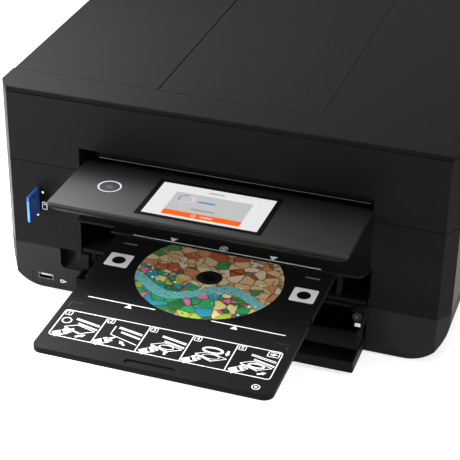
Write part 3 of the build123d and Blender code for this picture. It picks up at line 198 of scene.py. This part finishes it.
def moulded(name, colour, roughness, grain=0.0, grain_size=1100.0,
            drift=0.10, level=0.5, smear=0.0):
    """A moulded plastic: its tone drifts slowly, and a fine grain roughens it."""
    made = bpy.data.materials.new(name)
    made.use_nodes = True
    tree = made.node_tree
    skin = tree.nodes["Principled BSDF"]
    place = Tone(tree).node("ShaderNodeTexCoord", out=3)
    slow = place.node("ShaderNodeTexNoise", None,
                      {"Vector": place, "Scale": 14.0, "Detail": 3.0, "Roughness": 0.6})
    fine = place.node("ShaderNodeTexNoise", None,
                      {"Vector": place, "Scale": grain_size, "Detail": 2.0})
    dark = [c * (1 - drift) for c in colour] + [1.0]
    light = [c * (1 + drift) for c in colour] + [1.0]
    mixed(slow * 0.7 + fine * 0.3, dark, light).into(skin, "Base Color")
    gloss = slow * (0.06 + smear) + (roughness - 0.03 - smear / 2)
    if grain:
        gloss = gloss + fine * 0.06
        bump = fine.node("ShaderNodeBump", None,
                         {"Height": fine, "Strength": grain, "Distance": 0.0002})
        bump.into(skin, "Normal")
    gloss.into(skin, "Roughness")
    skin.inputs["Specular IOR Level"].default_value = level
    return made


def dress(finish, *names):
    """Give CAD nodes a finish."""
    for name in names:
        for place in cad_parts[name].material_slots:
            place.material = finish


textured_black = moulded("textured_black", (0.016, 0.016, 0.0165), 0.5, grain=0.35, level=0.08)
foot_rubber = moulded("foot_rubber", (0.02, 0.02, 0.02), 0.8, grain=0.2, level=0.2)
dress(textured_black, "base_case")
dress(foot_rubber, "rubber_feet")

# ---- Plinth ----------------------------------------------------------------
# A low dark rubber rim under the base's edge fills the gap between the base and the floor.
plinth_wide, plinth_deep = 0.316, 0.334
plinth_corner = 0.008
plinth_wall = 0.0016
plinth_height = 0.0009
bpy.ops.object.select_all(action="DESELECT")
bpy.ops.mesh.primitive_plane_add(size=1, location=(0, 0, 0))
plinth = bpy.context.object
plinth.name = "plinth"
plinth.scale = (plinth_wide, plinth_deep, 1)
bpy.ops.object.transform_apply(scale=True)
bpy.ops.object.mode_set(mode="EDIT")
bpy.ops.mesh.select_all(action="SELECT")
bpy.ops.mesh.bevel(offset=plinth_corner, segments=4, affect="VERTICES")
bpy.ops.mesh.select_all(action="SELECT")
bpy.ops.mesh.inset(thickness=plinth_wall)
bpy.ops.mesh.delete(type="FACE")
bpy.ops.mesh.select_all(action="SELECT")
bpy.ops.mesh.extrude_region_move(TRANSFORM_OT_translate={"value": (0, 0, plinth_height)})
bpy.ops.mesh.select_all(action="SELECT")
bpy.ops.mesh.normals_make_consistent(inside=False)
bpy.ops.object.mode_set(mode="OBJECT")
plinth.data.transform(Matrix.Translation(spot(0, 169.5, 0.05)))
plinth.data.materials.append(foot_rubber)
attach(plinth, "case")

# ---- Main case -------------------------------------------------------------
# The upper case is moulded in polished black, with its deck and bay walls.
polished_black = moulded("polished_black", (0.0045, 0.0045, 0.0053), 0.36,
                         smear=0.08, drift=0.06, level=0.06)
dress(polished_black, "main_case")

# ---- Hinges and shafts -----------------------------------------------------
# Bright steel: ground shafts, pins and the plated sheet of the mechanism.
def metal(name, colour, roughness, grain_size=700.0):
    """Steel with a fine rolled grain."""
    made = bpy.data.materials.new(name)
    made.use_nodes = True
    tree = made.node_tree
    skin = tree.nodes["Principled BSDF"]
    place = Tone(tree).node("ShaderNodeTexCoord", out=3)
    stretched = place.node("ShaderNodeMapping", None,
                           {"Vector": place, "Scale": (0.05, 1.0, 1.0)})
    rolled = place.node("ShaderNodeTexNoise", None,
                        {"Vector": stretched, "Scale": grain_size, "Detail": 3.0})
    slow = place.node("ShaderNodeTexNoise", None, {"Vector": place, "Scale": 30.0})
    low = [c * 0.85 for c in colour] + [1.0]
    high = [min(1.0, c * 1.1) for c in colour] + [1.0]
    mixed(slow, low, high).into(skin, "Base Color")
    (rolled * 0.2 + (roughness - 0.1)).into(skin, "Roughness")
    skin.inputs["Metallic"].default_value = 1.0
    return made


ground_steel = metal("ground_steel", (0.58, 0.59, 0.61), 0.25)
plated_sheet = metal("plated_sheet", (0.5, 0.51, 0.53), 0.4, 300.0)
dress(ground_steel, "panel_hinge_shaft", "scanner_hinge_pins", "carriage_shaft", "scan_rod",
      "print_head")
dress(plated_sheet, "mechanism_frame", "drive_motors")

# ---- Scanner ---------------------------------------------------------------
# A deep polished moulding with the bed's glass let into its floor.
band_black = moulded("band_black", (0.0045, 0.0045, 0.0053), 0.38,
                     smear=0.08, drift=0.06, level=0.06)
dress(band_black, "scanner_case")
bed = bpy.data.materials.new("bed_glass")
bed.use_nodes = True
bed_skin = bed.node_tree.nodes["Principled BSDF"]
bed_place = Tone(bed.node_tree).node("ShaderNodeTexCoord", out=3)
smudge = bed_place.node("ShaderNodeTexNoise", None,
                        {"Vector": bed_place, "Scale": 22.0, "Detail": 4.0})
(smudge * 0.08).into(bed_skin, "Roughness")
bed_skin.inputs["Base Color"].default_value = (0.85, 0.92, 0.9, 1.0)
bed_skin.inputs["Transmission Weight"].default_value = 0.9
bed_skin.inputs["IOR"].default_value = 1.5
dress(bed, "scan_glass")

# ---- Lid -------------------------------------------------------------------
# A satin, finely grained cover with two folding panels: the document feeder's
# cover at the left and its support in the middle.
satin_grain = moulded("satin_grain", (0.006, 0.006, 0.0062), 0.4,
                      grain=0.3, grain_size=1500.0, level=0.022)
dress(satin_grain, "lid_frame", "adf_cover", "document_support")
chute_black = moulded("chute_black", (0.03, 0.03, 0.031), 0.5, grain=0.3)
dress(chute_black, "feeder_chute")
roller_rubber = moulded("roller_rubber", (0.035, 0.035, 0.037), 0.7,
                        grain=0.5, grain_size=600.0, level=0.25)
dress(roller_rubber, "feeder_roller", "feed_roller", "exit_roller", "turn_roller")
white_foam = moulded("white_foam", (0.78, 0.78, 0.77), 0.7,
                     grain=0.4, grain_size=500.0, drift=0.03, level=0.2)
dress(white_foam, "document_mat")

# ---- Control panel ---------------------------------------------------------
# A polished face over a matte shell. The touch screen and the power button
# are set into the face, and a clear ring round the button glows.
panel_polish = moulded("panel_polish", (0.005, 0.005, 0.0053), 0.5, smear=0.04, drift=0.05, level=0.3)
panel_matte = moulded("panel_matte", (0.006, 0.006, 0.0063), 0.4, grain=0.2, level=0.08)
dress(panel_polish, "panel_face", "power_button")
dress(panel_matte, "panel_shell")


def glowing(name, colour, strength, body=(0.5, 0.5, 0.5)):
    """A clear moulding or screen lit from behind, a little uneven."""
    made = bpy.data.materials.new(name)
    made.use_nodes = True
    tree = made.node_tree
    skin = tree.nodes["Principled BSDF"]
    place = Tone(tree).node("ShaderNodeTexCoord", out=3)
    slow = place.node("ShaderNodeTexNoise", None, {"Vector": place, "Scale": 60.0})
    low = [c * 0.93 for c in colour] + [1.0]
    mixed(slow, low, (*colour, 1.0)).into(skin, "Emission Color")
    skin.inputs["Emission Strength"].default_value = strength
    skin.inputs["Base Color"].default_value = (*body, 1.0)
    skin.inputs["Specular IOR Level"].default_value = 0.05
    (slow * 0.05 + 0.3).into(skin, "Roughness")
    return made


ring_light = glowing("ring_light", (0.72, 0.7, 1.0), 0.55, (0.2, 0.2, 0.22))
dress(ring_light, "button_ring")
screen_black = moulded("screen_black", (0.003, 0.003, 0.0035), 0.3, drift=0.05, level=0.06)
dress(screen_black, "display_module")

panel_tilt = radians(-1.6)
panel_origin = spot(4.05, 5.9, 131.8)
panel_turn = Matrix.Rotation(panel_tilt, 4, "X")


def flat_box(x, y, z, corner=0.0, hollow=0.0):
    """A flat printed box in mm, its corners rounded, or only its outline."""
    bpy.ops.object.select_all(action="DESELECT")
    middle = ((x[0] + x[1]) / 2000, (y[0] + y[1]) / 2000, z / 1000)
    bpy.ops.mesh.primitive_plane_add(size=1, location=middle)
    sheet = bpy.context.object
    sheet.scale = (abs(x[1] - x[0]) / 1000, abs(y[1] - y[0]) / 1000, 1)
    bpy.ops.object.transform_apply(location=True, scale=True)
    bpy.ops.object.mode_set(mode="EDIT")
    bpy.ops.mesh.select_all(action="SELECT")
    if corner:
        bpy.ops.mesh.bevel(offset=corner / 1000, segments=4, affect="VERTICES")
        bpy.ops.mesh.select_all(action="SELECT")
    if hollow:
        bpy.ops.mesh.inset(thickness=hollow / 1000)
        bpy.ops.mesh.delete(type="FACE")
    bpy.ops.object.mode_set(mode="OBJECT")
    return sheet


def flat_disc(x, y, z, radius, hole=0.0, sides=40, turned=0.0):
    """A flat printed disc, ring or triangle in mm."""
    bpy.ops.object.select_all(action="DESELECT")
    bpy.ops.mesh.primitive_circle_add(
        vertices=sides, radius=radius / 1000, fill_type="NGON",
        location=(x / 1000, y / 1000, z / 1000), rotation=(0, 0, turned),
    )
    sheet = bpy.context.object
    bpy.ops.object.transform_apply(location=True, rotation=True)
    if hole:
        bpy.ops.object.mode_set(mode="EDIT")
        bpy.ops.mesh.select_all(action="SELECT")
        bpy.ops.mesh.inset(thickness=(radius - hole) / 1000 * cos(pi / sides))
        bpy.ops.mesh.delete(type="FACE")
        bpy.ops.object.mode_set(mode="OBJECT")
    return sheet


def stroke(start, end, z, width=0.5):
    """A straight printed line between two points in mm."""
    run = (end[0] - start[0], end[1] - start[1])
    bpy.ops.object.select_all(action="DESELECT")
    bpy.ops.mesh.primitive_plane_add(
        size=1, location=((start[0] + end[0]) / 2000, (start[1] + end[1]) / 2000, z / 1000)
    )
    line = bpy.context.object
    line.scale = (hypot(*run) / 1000, width / 1000, 1)
    line.rotation_euler = (0, 0, atan2(run[1], run[0]))
    bpy.ops.object.transform_apply(location=True, rotation=True, scale=True)
    return line


def printed(name, parts, finish, body, place=None):
    """Join flat shapes into one print, put it in place and let it ride."""
    bpy.ops.object.select_all(action="DESELECT")
    for part in parts:
        part.select_set(True)
    bpy.context.view_layer.objects.active = parts[0]
    if len(parts) > 1:
        bpy.ops.object.join()
    piece = bpy.context.object
    piece.data.transform(place if place else Matrix.Translation(spot(0, 0, 0)))
    piece.name = name
    piece.data.materials.clear()
    piece.data.materials.append(finish)
    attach(piece, body)
    return piece


def arc(middle, z, radii, span, width, turns):
    """Part of a printed ring or oval, as short strokes, in mm and degrees."""
    ring = []
    for step in range(turns):
        ends = []
        for along in (step, step + 1):
            angle = radians(span[0] + (span[1] - span[0]) * along / turns)
            ends.append((middle[0] + radii[0] * cos(angle), middle[1] + radii[1] * sin(angle)))
        ring.append(stroke(*ends, z, width))
    return ring


# The page on the screen: a pale ground, a grey card, an orange bar and the
# ring of a job that is under way. Everything is drawn as light.
on_panel = Matrix.Translation(panel_origin) @ panel_turn
unlit = (0.01, 0.01, 0.01)
page_light = glowing("page_light", (0.93, 0.93, 0.94), 0.88, unlit)
card_grey = glowing("card_grey", (0.62, 0.62, 0.62), 0.88, unlit)
bar_orange = glowing("bar_orange", (1.0, 0.13, 0.006), 1.0, (0.01, 0.005, 0.0))
ring_pale = glowing("ring_pale", (0.8, 0.82, 0.86), 0.88, unlit)
ring_blue = glowing("ring_blue", (0.05, 0.25, 0.62), 0.88, unlit)
dash_grey = glowing("dash_grey", (0.3, 0.3, 0.31), 0.9, unlit)
screen_z = -0.04
card_z = screen_z + 0.02
mark_z = screen_z + 0.04
card_x = (-32.0, 32.2)
card_y = (-57.6, -27.0)
bar_low = -65.4
dash_corner = 0.4
job = (-20.6, -36.8)
job_radius = 6.05


def on_screen(name, parts, finish):
    """Draw a part of the screen's page."""
    printed(name, parts, finish, "control_panel", on_panel)


on_screen("screen_page", [flat_box((-47.15, 47.85), (-68.7, -14.8), screen_z)], page_light)
on_screen("screen_card", [flat_box(card_x, card_y, card_z)], card_grey)
on_screen("screen_bar", [flat_box(card_x, (bar_low, card_y[0]), card_z)], bar_orange)
on_screen("screen_ring", [flat_disc(*job, mark_z, 6.6, 5.5)], ring_pale)
on_screen("screen_progress", [
    *arc(job, mark_z + 0.02, (job_radius, job_radius), (80, 215), 1.1, 9),
    flat_box((-10.5, 4.0), (-39.4, -37.2), mark_z, dash_corner),
], ring_blue)
on_screen("screen_dashes", [
    flat_box((-7.0, 6.0), (-21.8, -20.4), mark_z, dash_corner),
    flat_box((-12.0, 8.0), (-52.3, -50.6), mark_z, dash_corner),
], dash_grey)
on_screen("screen_marks", [
    flat_disc(-6.5, -61.4, mark_z, 2.0, 1.3),
    flat_box((-1.0, 9.0), (-62.2, -60.7), mark_z, dash_corner),
], page_light)

# ---- Brow's edge highlight -------------------------------------------------
# A pale strip along the small ledge over the panel's back edge is a painted
# highlight of the ledge's edge. It lifts with the scanner unit.
def facing_front(y):
    """Turn a flat print upright, facing the front, at a depth in mm."""
    return Matrix.Translation(spot(0, y, 0)) @ Matrix.Rotation(pi / 2, 4, "X")


ledge_face = 3.46
# A pale grey that stands in for the light on the ledge's edge: a painted highlight.
edge_highlight_grey = moulded("edge_highlight_grey", (0.085, 0.085, 0.087), 0.4, grain=0.1, level=0.2)
printed("brow_edge_highlight", [flat_box((-105.6, 124.6), (137.15, 137.65), 0)], edge_highlight_grey, "scanner_unit",
        facing_front(ledge_face))

# ---- Power button's symbol -------------------------------------------------
# A broken ring and a bar, printed on the button's face.
button = (-85.85, -38.2)
symbol_z = 0.03
symbol_radius = 2.1
symbol_line = 0.45
symbol_grey = moulded("symbol_grey", (0.22, 0.22, 0.23), 0.4, level=0.1)
symbol = arc(button, symbol_z, (symbol_radius, symbol_radius), (125, 415), symbol_line, 12)
symbol.append(stroke((button[0], button[1] + 0.6), (button[0], button[1] + 2.6), symbol_z, symbol_line))
printed("power_symbol", symbol, symbol_grey, "power_button", on_panel)

# ---- Disc tray -------------------------------------------------------------
# A satin moulding ribbed underneath. White print on its top shows where it
# lines up, and five small drawings show how a disc is put in.
tray_satin = moulded("tray_satin", (0.0085, 0.0085, 0.009), 0.42,
                     grain=0.2, grain_size=1500.0, level=0.025)
dress(tray_satin, "tray_drive_shaft", "disc_tray", "tray_rails", "disc_guide", "drive_brackets",
      "output_tray", "upper_cassette", "lower_cassette", "upper_guide_left", "upper_guide_right",
      "lower_guide_left", "lower_guide_right", "platen", "star_wheel_bar", "pinch_rollers")
white_ink = moulded("white_ink", (0.9, 0.9, 0.9), 0.5, grain=0.2, drift=0.03, level=0.3)
black_ink = moulded("black_ink", (0.004, 0.004, 0.004), 0.45, level=0.05)
tray_z = 76.34
over_print = 0.03
target_half = 10.0
target_middle = -50.0
dot_radius = 5.6

targets = []
dots = []
for x in (-68.0, 88.0):
    targets.append(flat_box((x - target_half, x + target_half),
                            (target_middle - target_half, target_middle + target_half), tray_z, 1.6))
    dots.append(flat_disc(x, target_middle, tray_z + over_print, dot_radius))
printed("tray_targets", targets, white_ink, "disc_tray")
printed("tray_dots", dots, black_ink, "disc_tray")

# Two lines with a triangle each, a disc's sign at the corner, and the frame
# of the five drawings with its numbers.
line_y = (-108.7, -107.7)
triangle_y = -111.6
sign = (89.0, -177.5)
cells = 5
frame_x = (-79.0, 96.0)
frame_y = (-166.4, -130.3)
cell = (frame_x[1] - frame_x[0]) / cells
tab = (1.4, 7.0)
number_size = 0.0052
marks = [
    flat_box((-70.3, -14.2), line_y, tray_z),
    flat_box((31.3, 90.5), line_y, tray_z),
    flat_disc(-35, triangle_y, tray_z, 3.4, sides=3),
    flat_disc(51, triangle_y, tray_z, 3.4, sides=3),
    flat_disc(*sign, tray_z, 3.2, 2.5),
    flat_disc(*sign, tray_z, 1.2, 0.5),
    flat_box(frame_x, frame_y, tray_z, 3.0, 0.8),
]
for index in range(cells):
    x = frame_x[0] + index * cell
    if index > 0:
        marks.append(flat_box((x - 0.4, x + 0.4), frame_y, tray_z))
    marks.append(flat_box((x + tab[0], x + tab[1]), (frame_y[1] - tab[1], frame_y[1] - tab[0]),
                          tray_z, 0.8, 0.5))
    middle = sum(tab) / 2
    bpy.ops.object.select_all(action="DESELECT")
    bpy.ops.object.text_add(location=((x + middle) / 1000, (frame_y[1] - middle) / 1000, tray_z / 1000))
    number = bpy.context.object
    number.data.body = str(index + 1)
    number.data.size = number_size
    number.data.align_x = "CENTER"
    number.data.align_y = "CENTER"
    bpy.ops.object.convert(target="MESH")
    number = bpy.context.object
    bpy.ops.object.transform_apply(location=True)
    marks.append(number)
printed("tray_print", marks, white_ink, "disc_tray")


def arrow(x, y, z, angle, length):
    """A broad printed arrow that starts at a point."""
    tip = (x + length * cos(angle), y + length * sin(angle))
    return [stroke((x, y), tip, z, 1.9), flat_disc(*tip, z, 2.3, sides=3, turned=angle - pi / 2)]


def hand(x, y, z):
    """A printed hand that points up and to the right."""
    return [
        stroke((x - 7.5, y - 6.0), (x - 1.0, y - 1.0), z, 6.5),
        flat_disc(x, y, z, 3.6),
        stroke((x, y + 1.5), (x + 4.6, y + 5.0), z, 1.9),
        flat_disc(x + 4.6, y + 5.0, z, 0.95, sides=16),
        stroke((x + 1.5, y - 1.0), (x + 4.6, y + 1.2), z, 1.7),
    ]


# Each drawing is set out in mm from its cell's lower left corner: the
# printer's slot on the slant, the tray's own corner, the disc, arrows and a
# hand. The last has a small key in its corner.
edge_lines = ((27.0, 13.0), (25.4, 13.0), (21.4, 16.5), (20.2, 16.5))
tray_outline = ((8.0, 13.5), (17.0, 18.6), (32.5, 14.2), (23.0, 8.6), (8.0, 13.5))
whole_turn = (0, 360)
disc_spot = (20.5, 13.6)
drawings = []
for index in range(cells):
    x = frame_x[0] + index * cell
    low = frame_y[0]
    disc_at = (x + disc_spot[0], low + disc_spot[1])
    if index != 3:
        for rise, reach in edge_lines:
            drawings.append(stroke((x + reach, low + rise), (x + 33.4, low + rise - 4.2), tray_z, 0.7))
    if index != 1:
        for first, last in zip(tray_outline, tray_outline[1:]):
            drawings.append(stroke((x + first[0], low + first[1]),
                                   (x + last[0], low + last[1]), tray_z, 0.6))
        drawings.append(stroke((x + 8.4, low + 12.5), (x + 23.0, low + 7.4), tray_z, 0.5))
    if index == 0:
        drawings += arc((x + 6.5, low + 22.0), tray_z, (3.6, 3.6), whole_turn, 0.9, 20)
        drawings += arrow(x + 21.0, low + 3.4, tray_z, radians(35), 6.0)
    if index == 1:
        drawings.append(stroke((x + 10.0, low + 15.6), (x + 33.4, low + 8.4), tray_z, 0.7))
        drawings.append(stroke((x + 10.0, low + 15.6), (x + 10.0, low + 27.0), tray_z, 0.7))
        drawings += arrow(x + 25.0, low + 5.0, tray_z, radians(140), 5.0)
    if index == 2:
        drawings += arc(disc_at, tray_z, (5.6, 2.5), whole_turn, 0.7, 20)
        drawings += arrow(x + 22.0, low + 4.0, tray_z, radians(90), 4.0)
    if index == 3:
        drawings += arc((x + 19.5, low + 21.5), tray_z, (7.6, 3.3), whole_turn, 2.0, 20)
        drawings += arc(disc_at, tray_z, (6.4, 2.6), whole_turn, 0.5, 20)
        drawings += arrow(x + 31.0, low + 24.5, tray_z, radians(-90), 4.6)
    if index == 4:
        drawings += arc(disc_at, tray_z, (6.0, 2.5), whole_turn, 1.6, 20)
        drawings.append(flat_box((x + 24.0, x + 33.0), (low + 28.0, low + 34.6), tray_z, 0.8, 0.6))
        drawings += arrow(x + 26.0, low + 31.3, tray_z, 0.0, 3.2)
        drawings += arrow(x + 24.0, low + 4.0, tray_z, radians(30), 5.0)
    drawings += hand(x + (9.6 if index % 2 else 11.2), low + 7.4, tray_z + 0.02)
printed("tray_drawings", drawings, white_ink, "disc_tray")

# The two sighting ridges are printed grey, and the corners have faint marks.
ridge_y = (-25.2, -23.2)
ridge_z = 76.84
corner_low, corner_high = -127.0, -119.5
corner_line = 0.6
ridge_grey = moulded("ridge_grey", (0.17, 0.17, 0.17), 0.5, grain=0.2, level=0.1)
printed("tray_ridges", [flat_box((-74, -62), ridge_y, ridge_z), flat_box((82, 94), ridge_y, ridge_z)],
        ridge_grey, "disc_tray")
mark_grey = moulded("mark_grey", (0.035, 0.035, 0.035), 0.5, grain=0.2, level=0.1)
corners = []
for x, inner_x in ((-79.5, -69.5), (96.5, 86.5)):
    corners.append(stroke((x, corner_low), (x, corner_high), tray_z, corner_line))
    corners.append(stroke((x, corner_high), (inner_x, corner_high), tray_z, corner_line))
printed("tray_corner_marks", corners, mark_grey, "disc_tray")

# ---- Disc ------------------------------------------------------------------
# Clear plastic, 120 mm across, with a printed face that stops short of the
# hub. The print is a made-up pattern of fields, rows and a stream.
disc_clear = moulded("disc_clear", (0.02, 0.02, 0.022), 0.15, level=0.6)
dress(disc_clear, "disc")
disc_x, disc_y = 10.0, -50.4
print_art = bpy.data.materials.new("disc_art")
print_art.use_nodes = True
art_tree = print_art.node_tree
art_skin = art_tree.nodes["Principled BSDF"]
disc_middle = spot(disc_x, disc_y, 0)
place = Tone(art_tree).node("ShaderNodeTexCoord", out=3)
place = place.node("ShaderNodeMapping", {"vector_type": "POINT"},
                   {"Vector": place, "Location": (-disc_middle.x, -disc_middle.y, 0)})
waver = place.node("ShaderNodeTexNoise", None, {"Vector": place, "Scale": 45.0, "Detail": 2.0}, out=1)
bent = place.node("ShaderNodeVectorMath", {"operation": "MULTIPLY_ADD"},
                  {0: waver, 1: (0.008, 0.008, 0.0), 2: place})
field_scale = 105.0
field_near = {"Vector": bent, "Scale": field_scale}
fields = bent.node("ShaderNodeTexVoronoi", {"feature": "F1"}, field_near, out=1)
edges = bent.node("ShaderNodeTexVoronoi", {"feature": "DISTANCE_TO_EDGE"}, field_near)
cell_tone = fields.node("ShaderNodeSeparateXYZ", None, {"Vector": fields})
art_x = place.node("ShaderNodeSeparateXYZ", None, {"Vector": place})
art_y = art_x.beside(1)
warm_stops = [
    (0.0, (0.6, 0.13, 0.04)), (0.18, (0.85, 0.58, 0.3)), (0.42, (0.95, 0.8, 0.55)),
    (0.6, (0.75, 0.32, 0.12)), (0.74, (0.9, 0.66, 0.36)), (0.92, (0.06, 0.32, 0.08)),
]
cool_stops = [
    (0.0, (0.01, 0.2, 0.05)), (0.2, (0.42, 0.6, 0.06)), (0.4, (0.02, 0.42, 0.14)),
    (0.56, (0.95, 0.78, 0.3)), (0.7, (0.01, 0.36, 0.5)), (0.86, (0.9, 0.2, 0.4)),
]
flower_stops = [
    (0.0, (0.02, 0.14, 0.05)), (0.5, (0.03, 0.2, 0.35)), (0.68, (0.75, 0.2, 0.4)),
    (0.8, (0.7, 0.08, 0.03)), (0.9, (0.9, 0.8, 0.6)),
]


def picked(tone, stops):
    """One flat colour out of several, by a tone from 0 to 1."""
    return tone.node("ShaderNodeValToRGB", {"stops": stops, "steps": "CONSTANT"}, {"Fac": tone})


# Warm fields above and cool ones below, each with a dark outline and rows.
fields_split = (art_y + 0.35 * art_x < -0.016)
outline = (edges < 0.045)
field_tones = mixed(fields_split, picked(cell_tone, warm_stops), picked(cell_tone, cool_stops))
ground = mixed(outline * 0.75, field_tones, (0.03, 0.02, 0.015, 1.0))
turned = place.node("ShaderNodeVectorRotate", {"rotation_type": "Z_AXIS"},
                    {"Vector": place, "Angle": cell_tone * 6.0})
rows = turned.node("ShaderNodeTexWave", None,
                   {"Vector": turned, "Scale": 210.0, "Distortion": 1.2}, out=1)
shaded = mixed((rows > 0.6) * 0.55, ground, (0.06, 0.03, 0.015, 1.0))

# A stream winds across them, and flowers are sprinkled over everything.
stream_half = 0.0055
swing = art_x * 70.0
stream_line = art_y + 0.023 - swing.maths("SINE", swing) * 0.011
stream = (stream_line.maths("ABSOLUTE", stream_line) < stream_half)
ripple = place.node("ShaderNodeTexNoise", None, {"Vector": place, "Scale": 420.0, "Detail": 2.0})
water = mixed(ripple, (0.0, 0.08, 0.12, 1.0), (0.3, 0.85, 0.8, 1.0))
watered = mixed(stream, shaded, water)
specks = place.node("ShaderNodeTexVoronoi", None, {"Vector": place, "Scale": 210.0})
speck_tone = specks.beside("Color")
speck_pick = speck_tone.node("ShaderNodeSeparateXYZ", None, {"Vector": speck_tone})
art = mixed((specks < 0.26) * (speck_pick > 0.35), watered, picked(speck_pick, flower_stops))
art.into(art_skin, "Base Color")
(ripple * 0.08 + 0.3).into(art_skin, "Roughness")
print_z = 76.23
print_radius, print_hole = 59.6, 10.3
printed("disc_print", [flat_disc(disc_x, disc_y, print_z, print_radius, print_hole, sides=96)],
        print_art, "disc_tray")

# ---- Guide's print ---------------------------------------------------------
# White marks on the lip that the tray slides under.
lip_z = 79.44
guide_triangle = 4.2
guide_sign = (8.0, -9.0)
printed("guide_print", [
    flat_box((-70, 91.5), (-13.9, -12.9), lip_z),
    flat_disc(-35.5, -9.2, lip_z, guide_triangle, sides=3, turned=pi),
    flat_disc(50.5, -9.2, lip_z, guide_triangle, sides=3, turned=pi),
    flat_disc(*guide_sign, lip_z, 3.5, 2.6),
    flat_disc(*guide_sign, lip_z, 1.5, 0.5),
], white_ink, "case")

# ---- Right bracket's wheel and label ---------------------------------------
# A small black follower wheel on a grey pin, and a white inspection label.
wheel_x, wheel_z = 123.2, 41.0
wheel_radius = 0.0036
wheel_width = 0.0018
wheel_edge = 0.0004
bpy.ops.object.select_all(action="DESELECT")
bpy.ops.mesh.primitive_cylinder_add(vertices=40, radius=wheel_radius, depth=wheel_width,
                                    rotation=(pi / 2, 0, 0))
wheel = bpy.context.object
wheel.name = "follower_wheel"
bpy.ops.object.transform_apply(rotation=True)
bpy.ops.object.mode_set(mode="EDIT")
bpy.ops.mesh.select_all(action="SELECT")
bpy.ops.mesh.bevel(offset=wheel_edge, segments=2, affect="EDGES")
bpy.ops.object.mode_set(mode="OBJECT")
wheel.data.transform(Matrix.Translation(spot(wheel_x, -13.0, wheel_z)))
wheel.data.materials.append(foot_rubber)
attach(wheel, "case")
printed("wheel_pin", [flat_disc(wheel_x, wheel_z, 0, 0.9)], ridge_grey, "case",
        facing_front(-14.0))
printed("bracket_label", [flat_box((121.6, 126.4), (30.8, 34.2), 0, 0.5)], white_ink, "case",
        facing_front(-12.05))

# ---- Card, lamp and sockets ------------------------------------------------
# The memory card is smooth blue plastic. The lamp's light guide glows green.
card_blue = moulded("card_blue", (0.018, 0.075, 0.28), 0.3, grain=0.1, drift=0.08, level=0.5)
dress(card_blue, "memory_card")
lamp_green = glowing("lamp_green", (0.75, 1.0, 0.35), 1.2)
dress(lamp_green, "status_lamp")
card_light = moulded("card_light", (0.09, 0.28, 0.85), 0.35, grain=0.1, drift=0.08, level=0.3)
printed("card_edge", [flat_box((-163.0, -161.0), (76.9, 96.6), 0, 0.5)], card_light,
        "memory_card", facing_front(-20.03))
socket_steel = metal("socket_steel", (0.22, 0.22, 0.24), 0.35)
dress(socket_steel, "front_sockets")
tongue_pale = moulded("tongue_pale", (0.42, 0.46, 0.62), 0.4, drift=0.04, level=0.2)
printed("usb_tongue", [flat_box((-164.4, -153.8), (11.95, 13.65), 0, 0.3)], tongue_pale, "case",
        facing_front(1.95))
printed("front_symbols", [
    flat_box((-158.6, -153.8), (79.6, 87.0), 0, 0.9, 0.7),
    flat_box((-157.2, -155.2), (84.0, 85.4), 0),
    flat_disc(-163.0, 73.4, 0, 1.3, sides=3),
    flat_box((-145.0, -141.4), (8.6, 11.4), 0, 0.5, 0.5),
    stroke((-141.4, 10.0), (-139.2, 10.0), 0, 0.6),
], white_ink, "case", facing_front(-0.05))
socket_black = moulded("socket_black", (0.012, 0.012, 0.012), 0.45, grain=0.2)
dress(socket_black, "rear_sockets")

# ---- Inner pieces ----------------------------------------------------------
# What the lid, the scanner and the trays hide until they are opened.
gear_resin = moulded("gear_resin", (0.62, 0.61, 0.57), 0.45, grain=0.15, drift=0.04)
dress(gear_resin, "belt_pulleys", "idler_gear_1", "idler_gear_2", "idler_gear_3",
      "encoder_strip")
carriage_black = moulded("carriage_black", (0.025, 0.025, 0.027), 0.5, grain=0.3)
dress(carriage_black, "carriage", "ink_cartridges", "maintenance_station", "scan_carriage",
      "power_supply")
board_green = moulded("board_green", (0.01, 0.11, 0.04), 0.35, drift=0.15)
dress(board_green, "main_board")
waste_felt = moulded("waste_felt", (0.55, 0.54, 0.52), 0.95, grain=0.8, grain_size=400.0)
dress(waste_felt, "waste_ink_pad")
belt_rubber = moulded("belt_rubber", (0.02, 0.02, 0.02), 0.7, grain=0.4)
dress(belt_rubber, "carriage_belt")

# ---- Rear cover ------------------------------------------------------------
# It pulls straight out of the back to clear a jam.
dress(textured_black, "rear_cover")
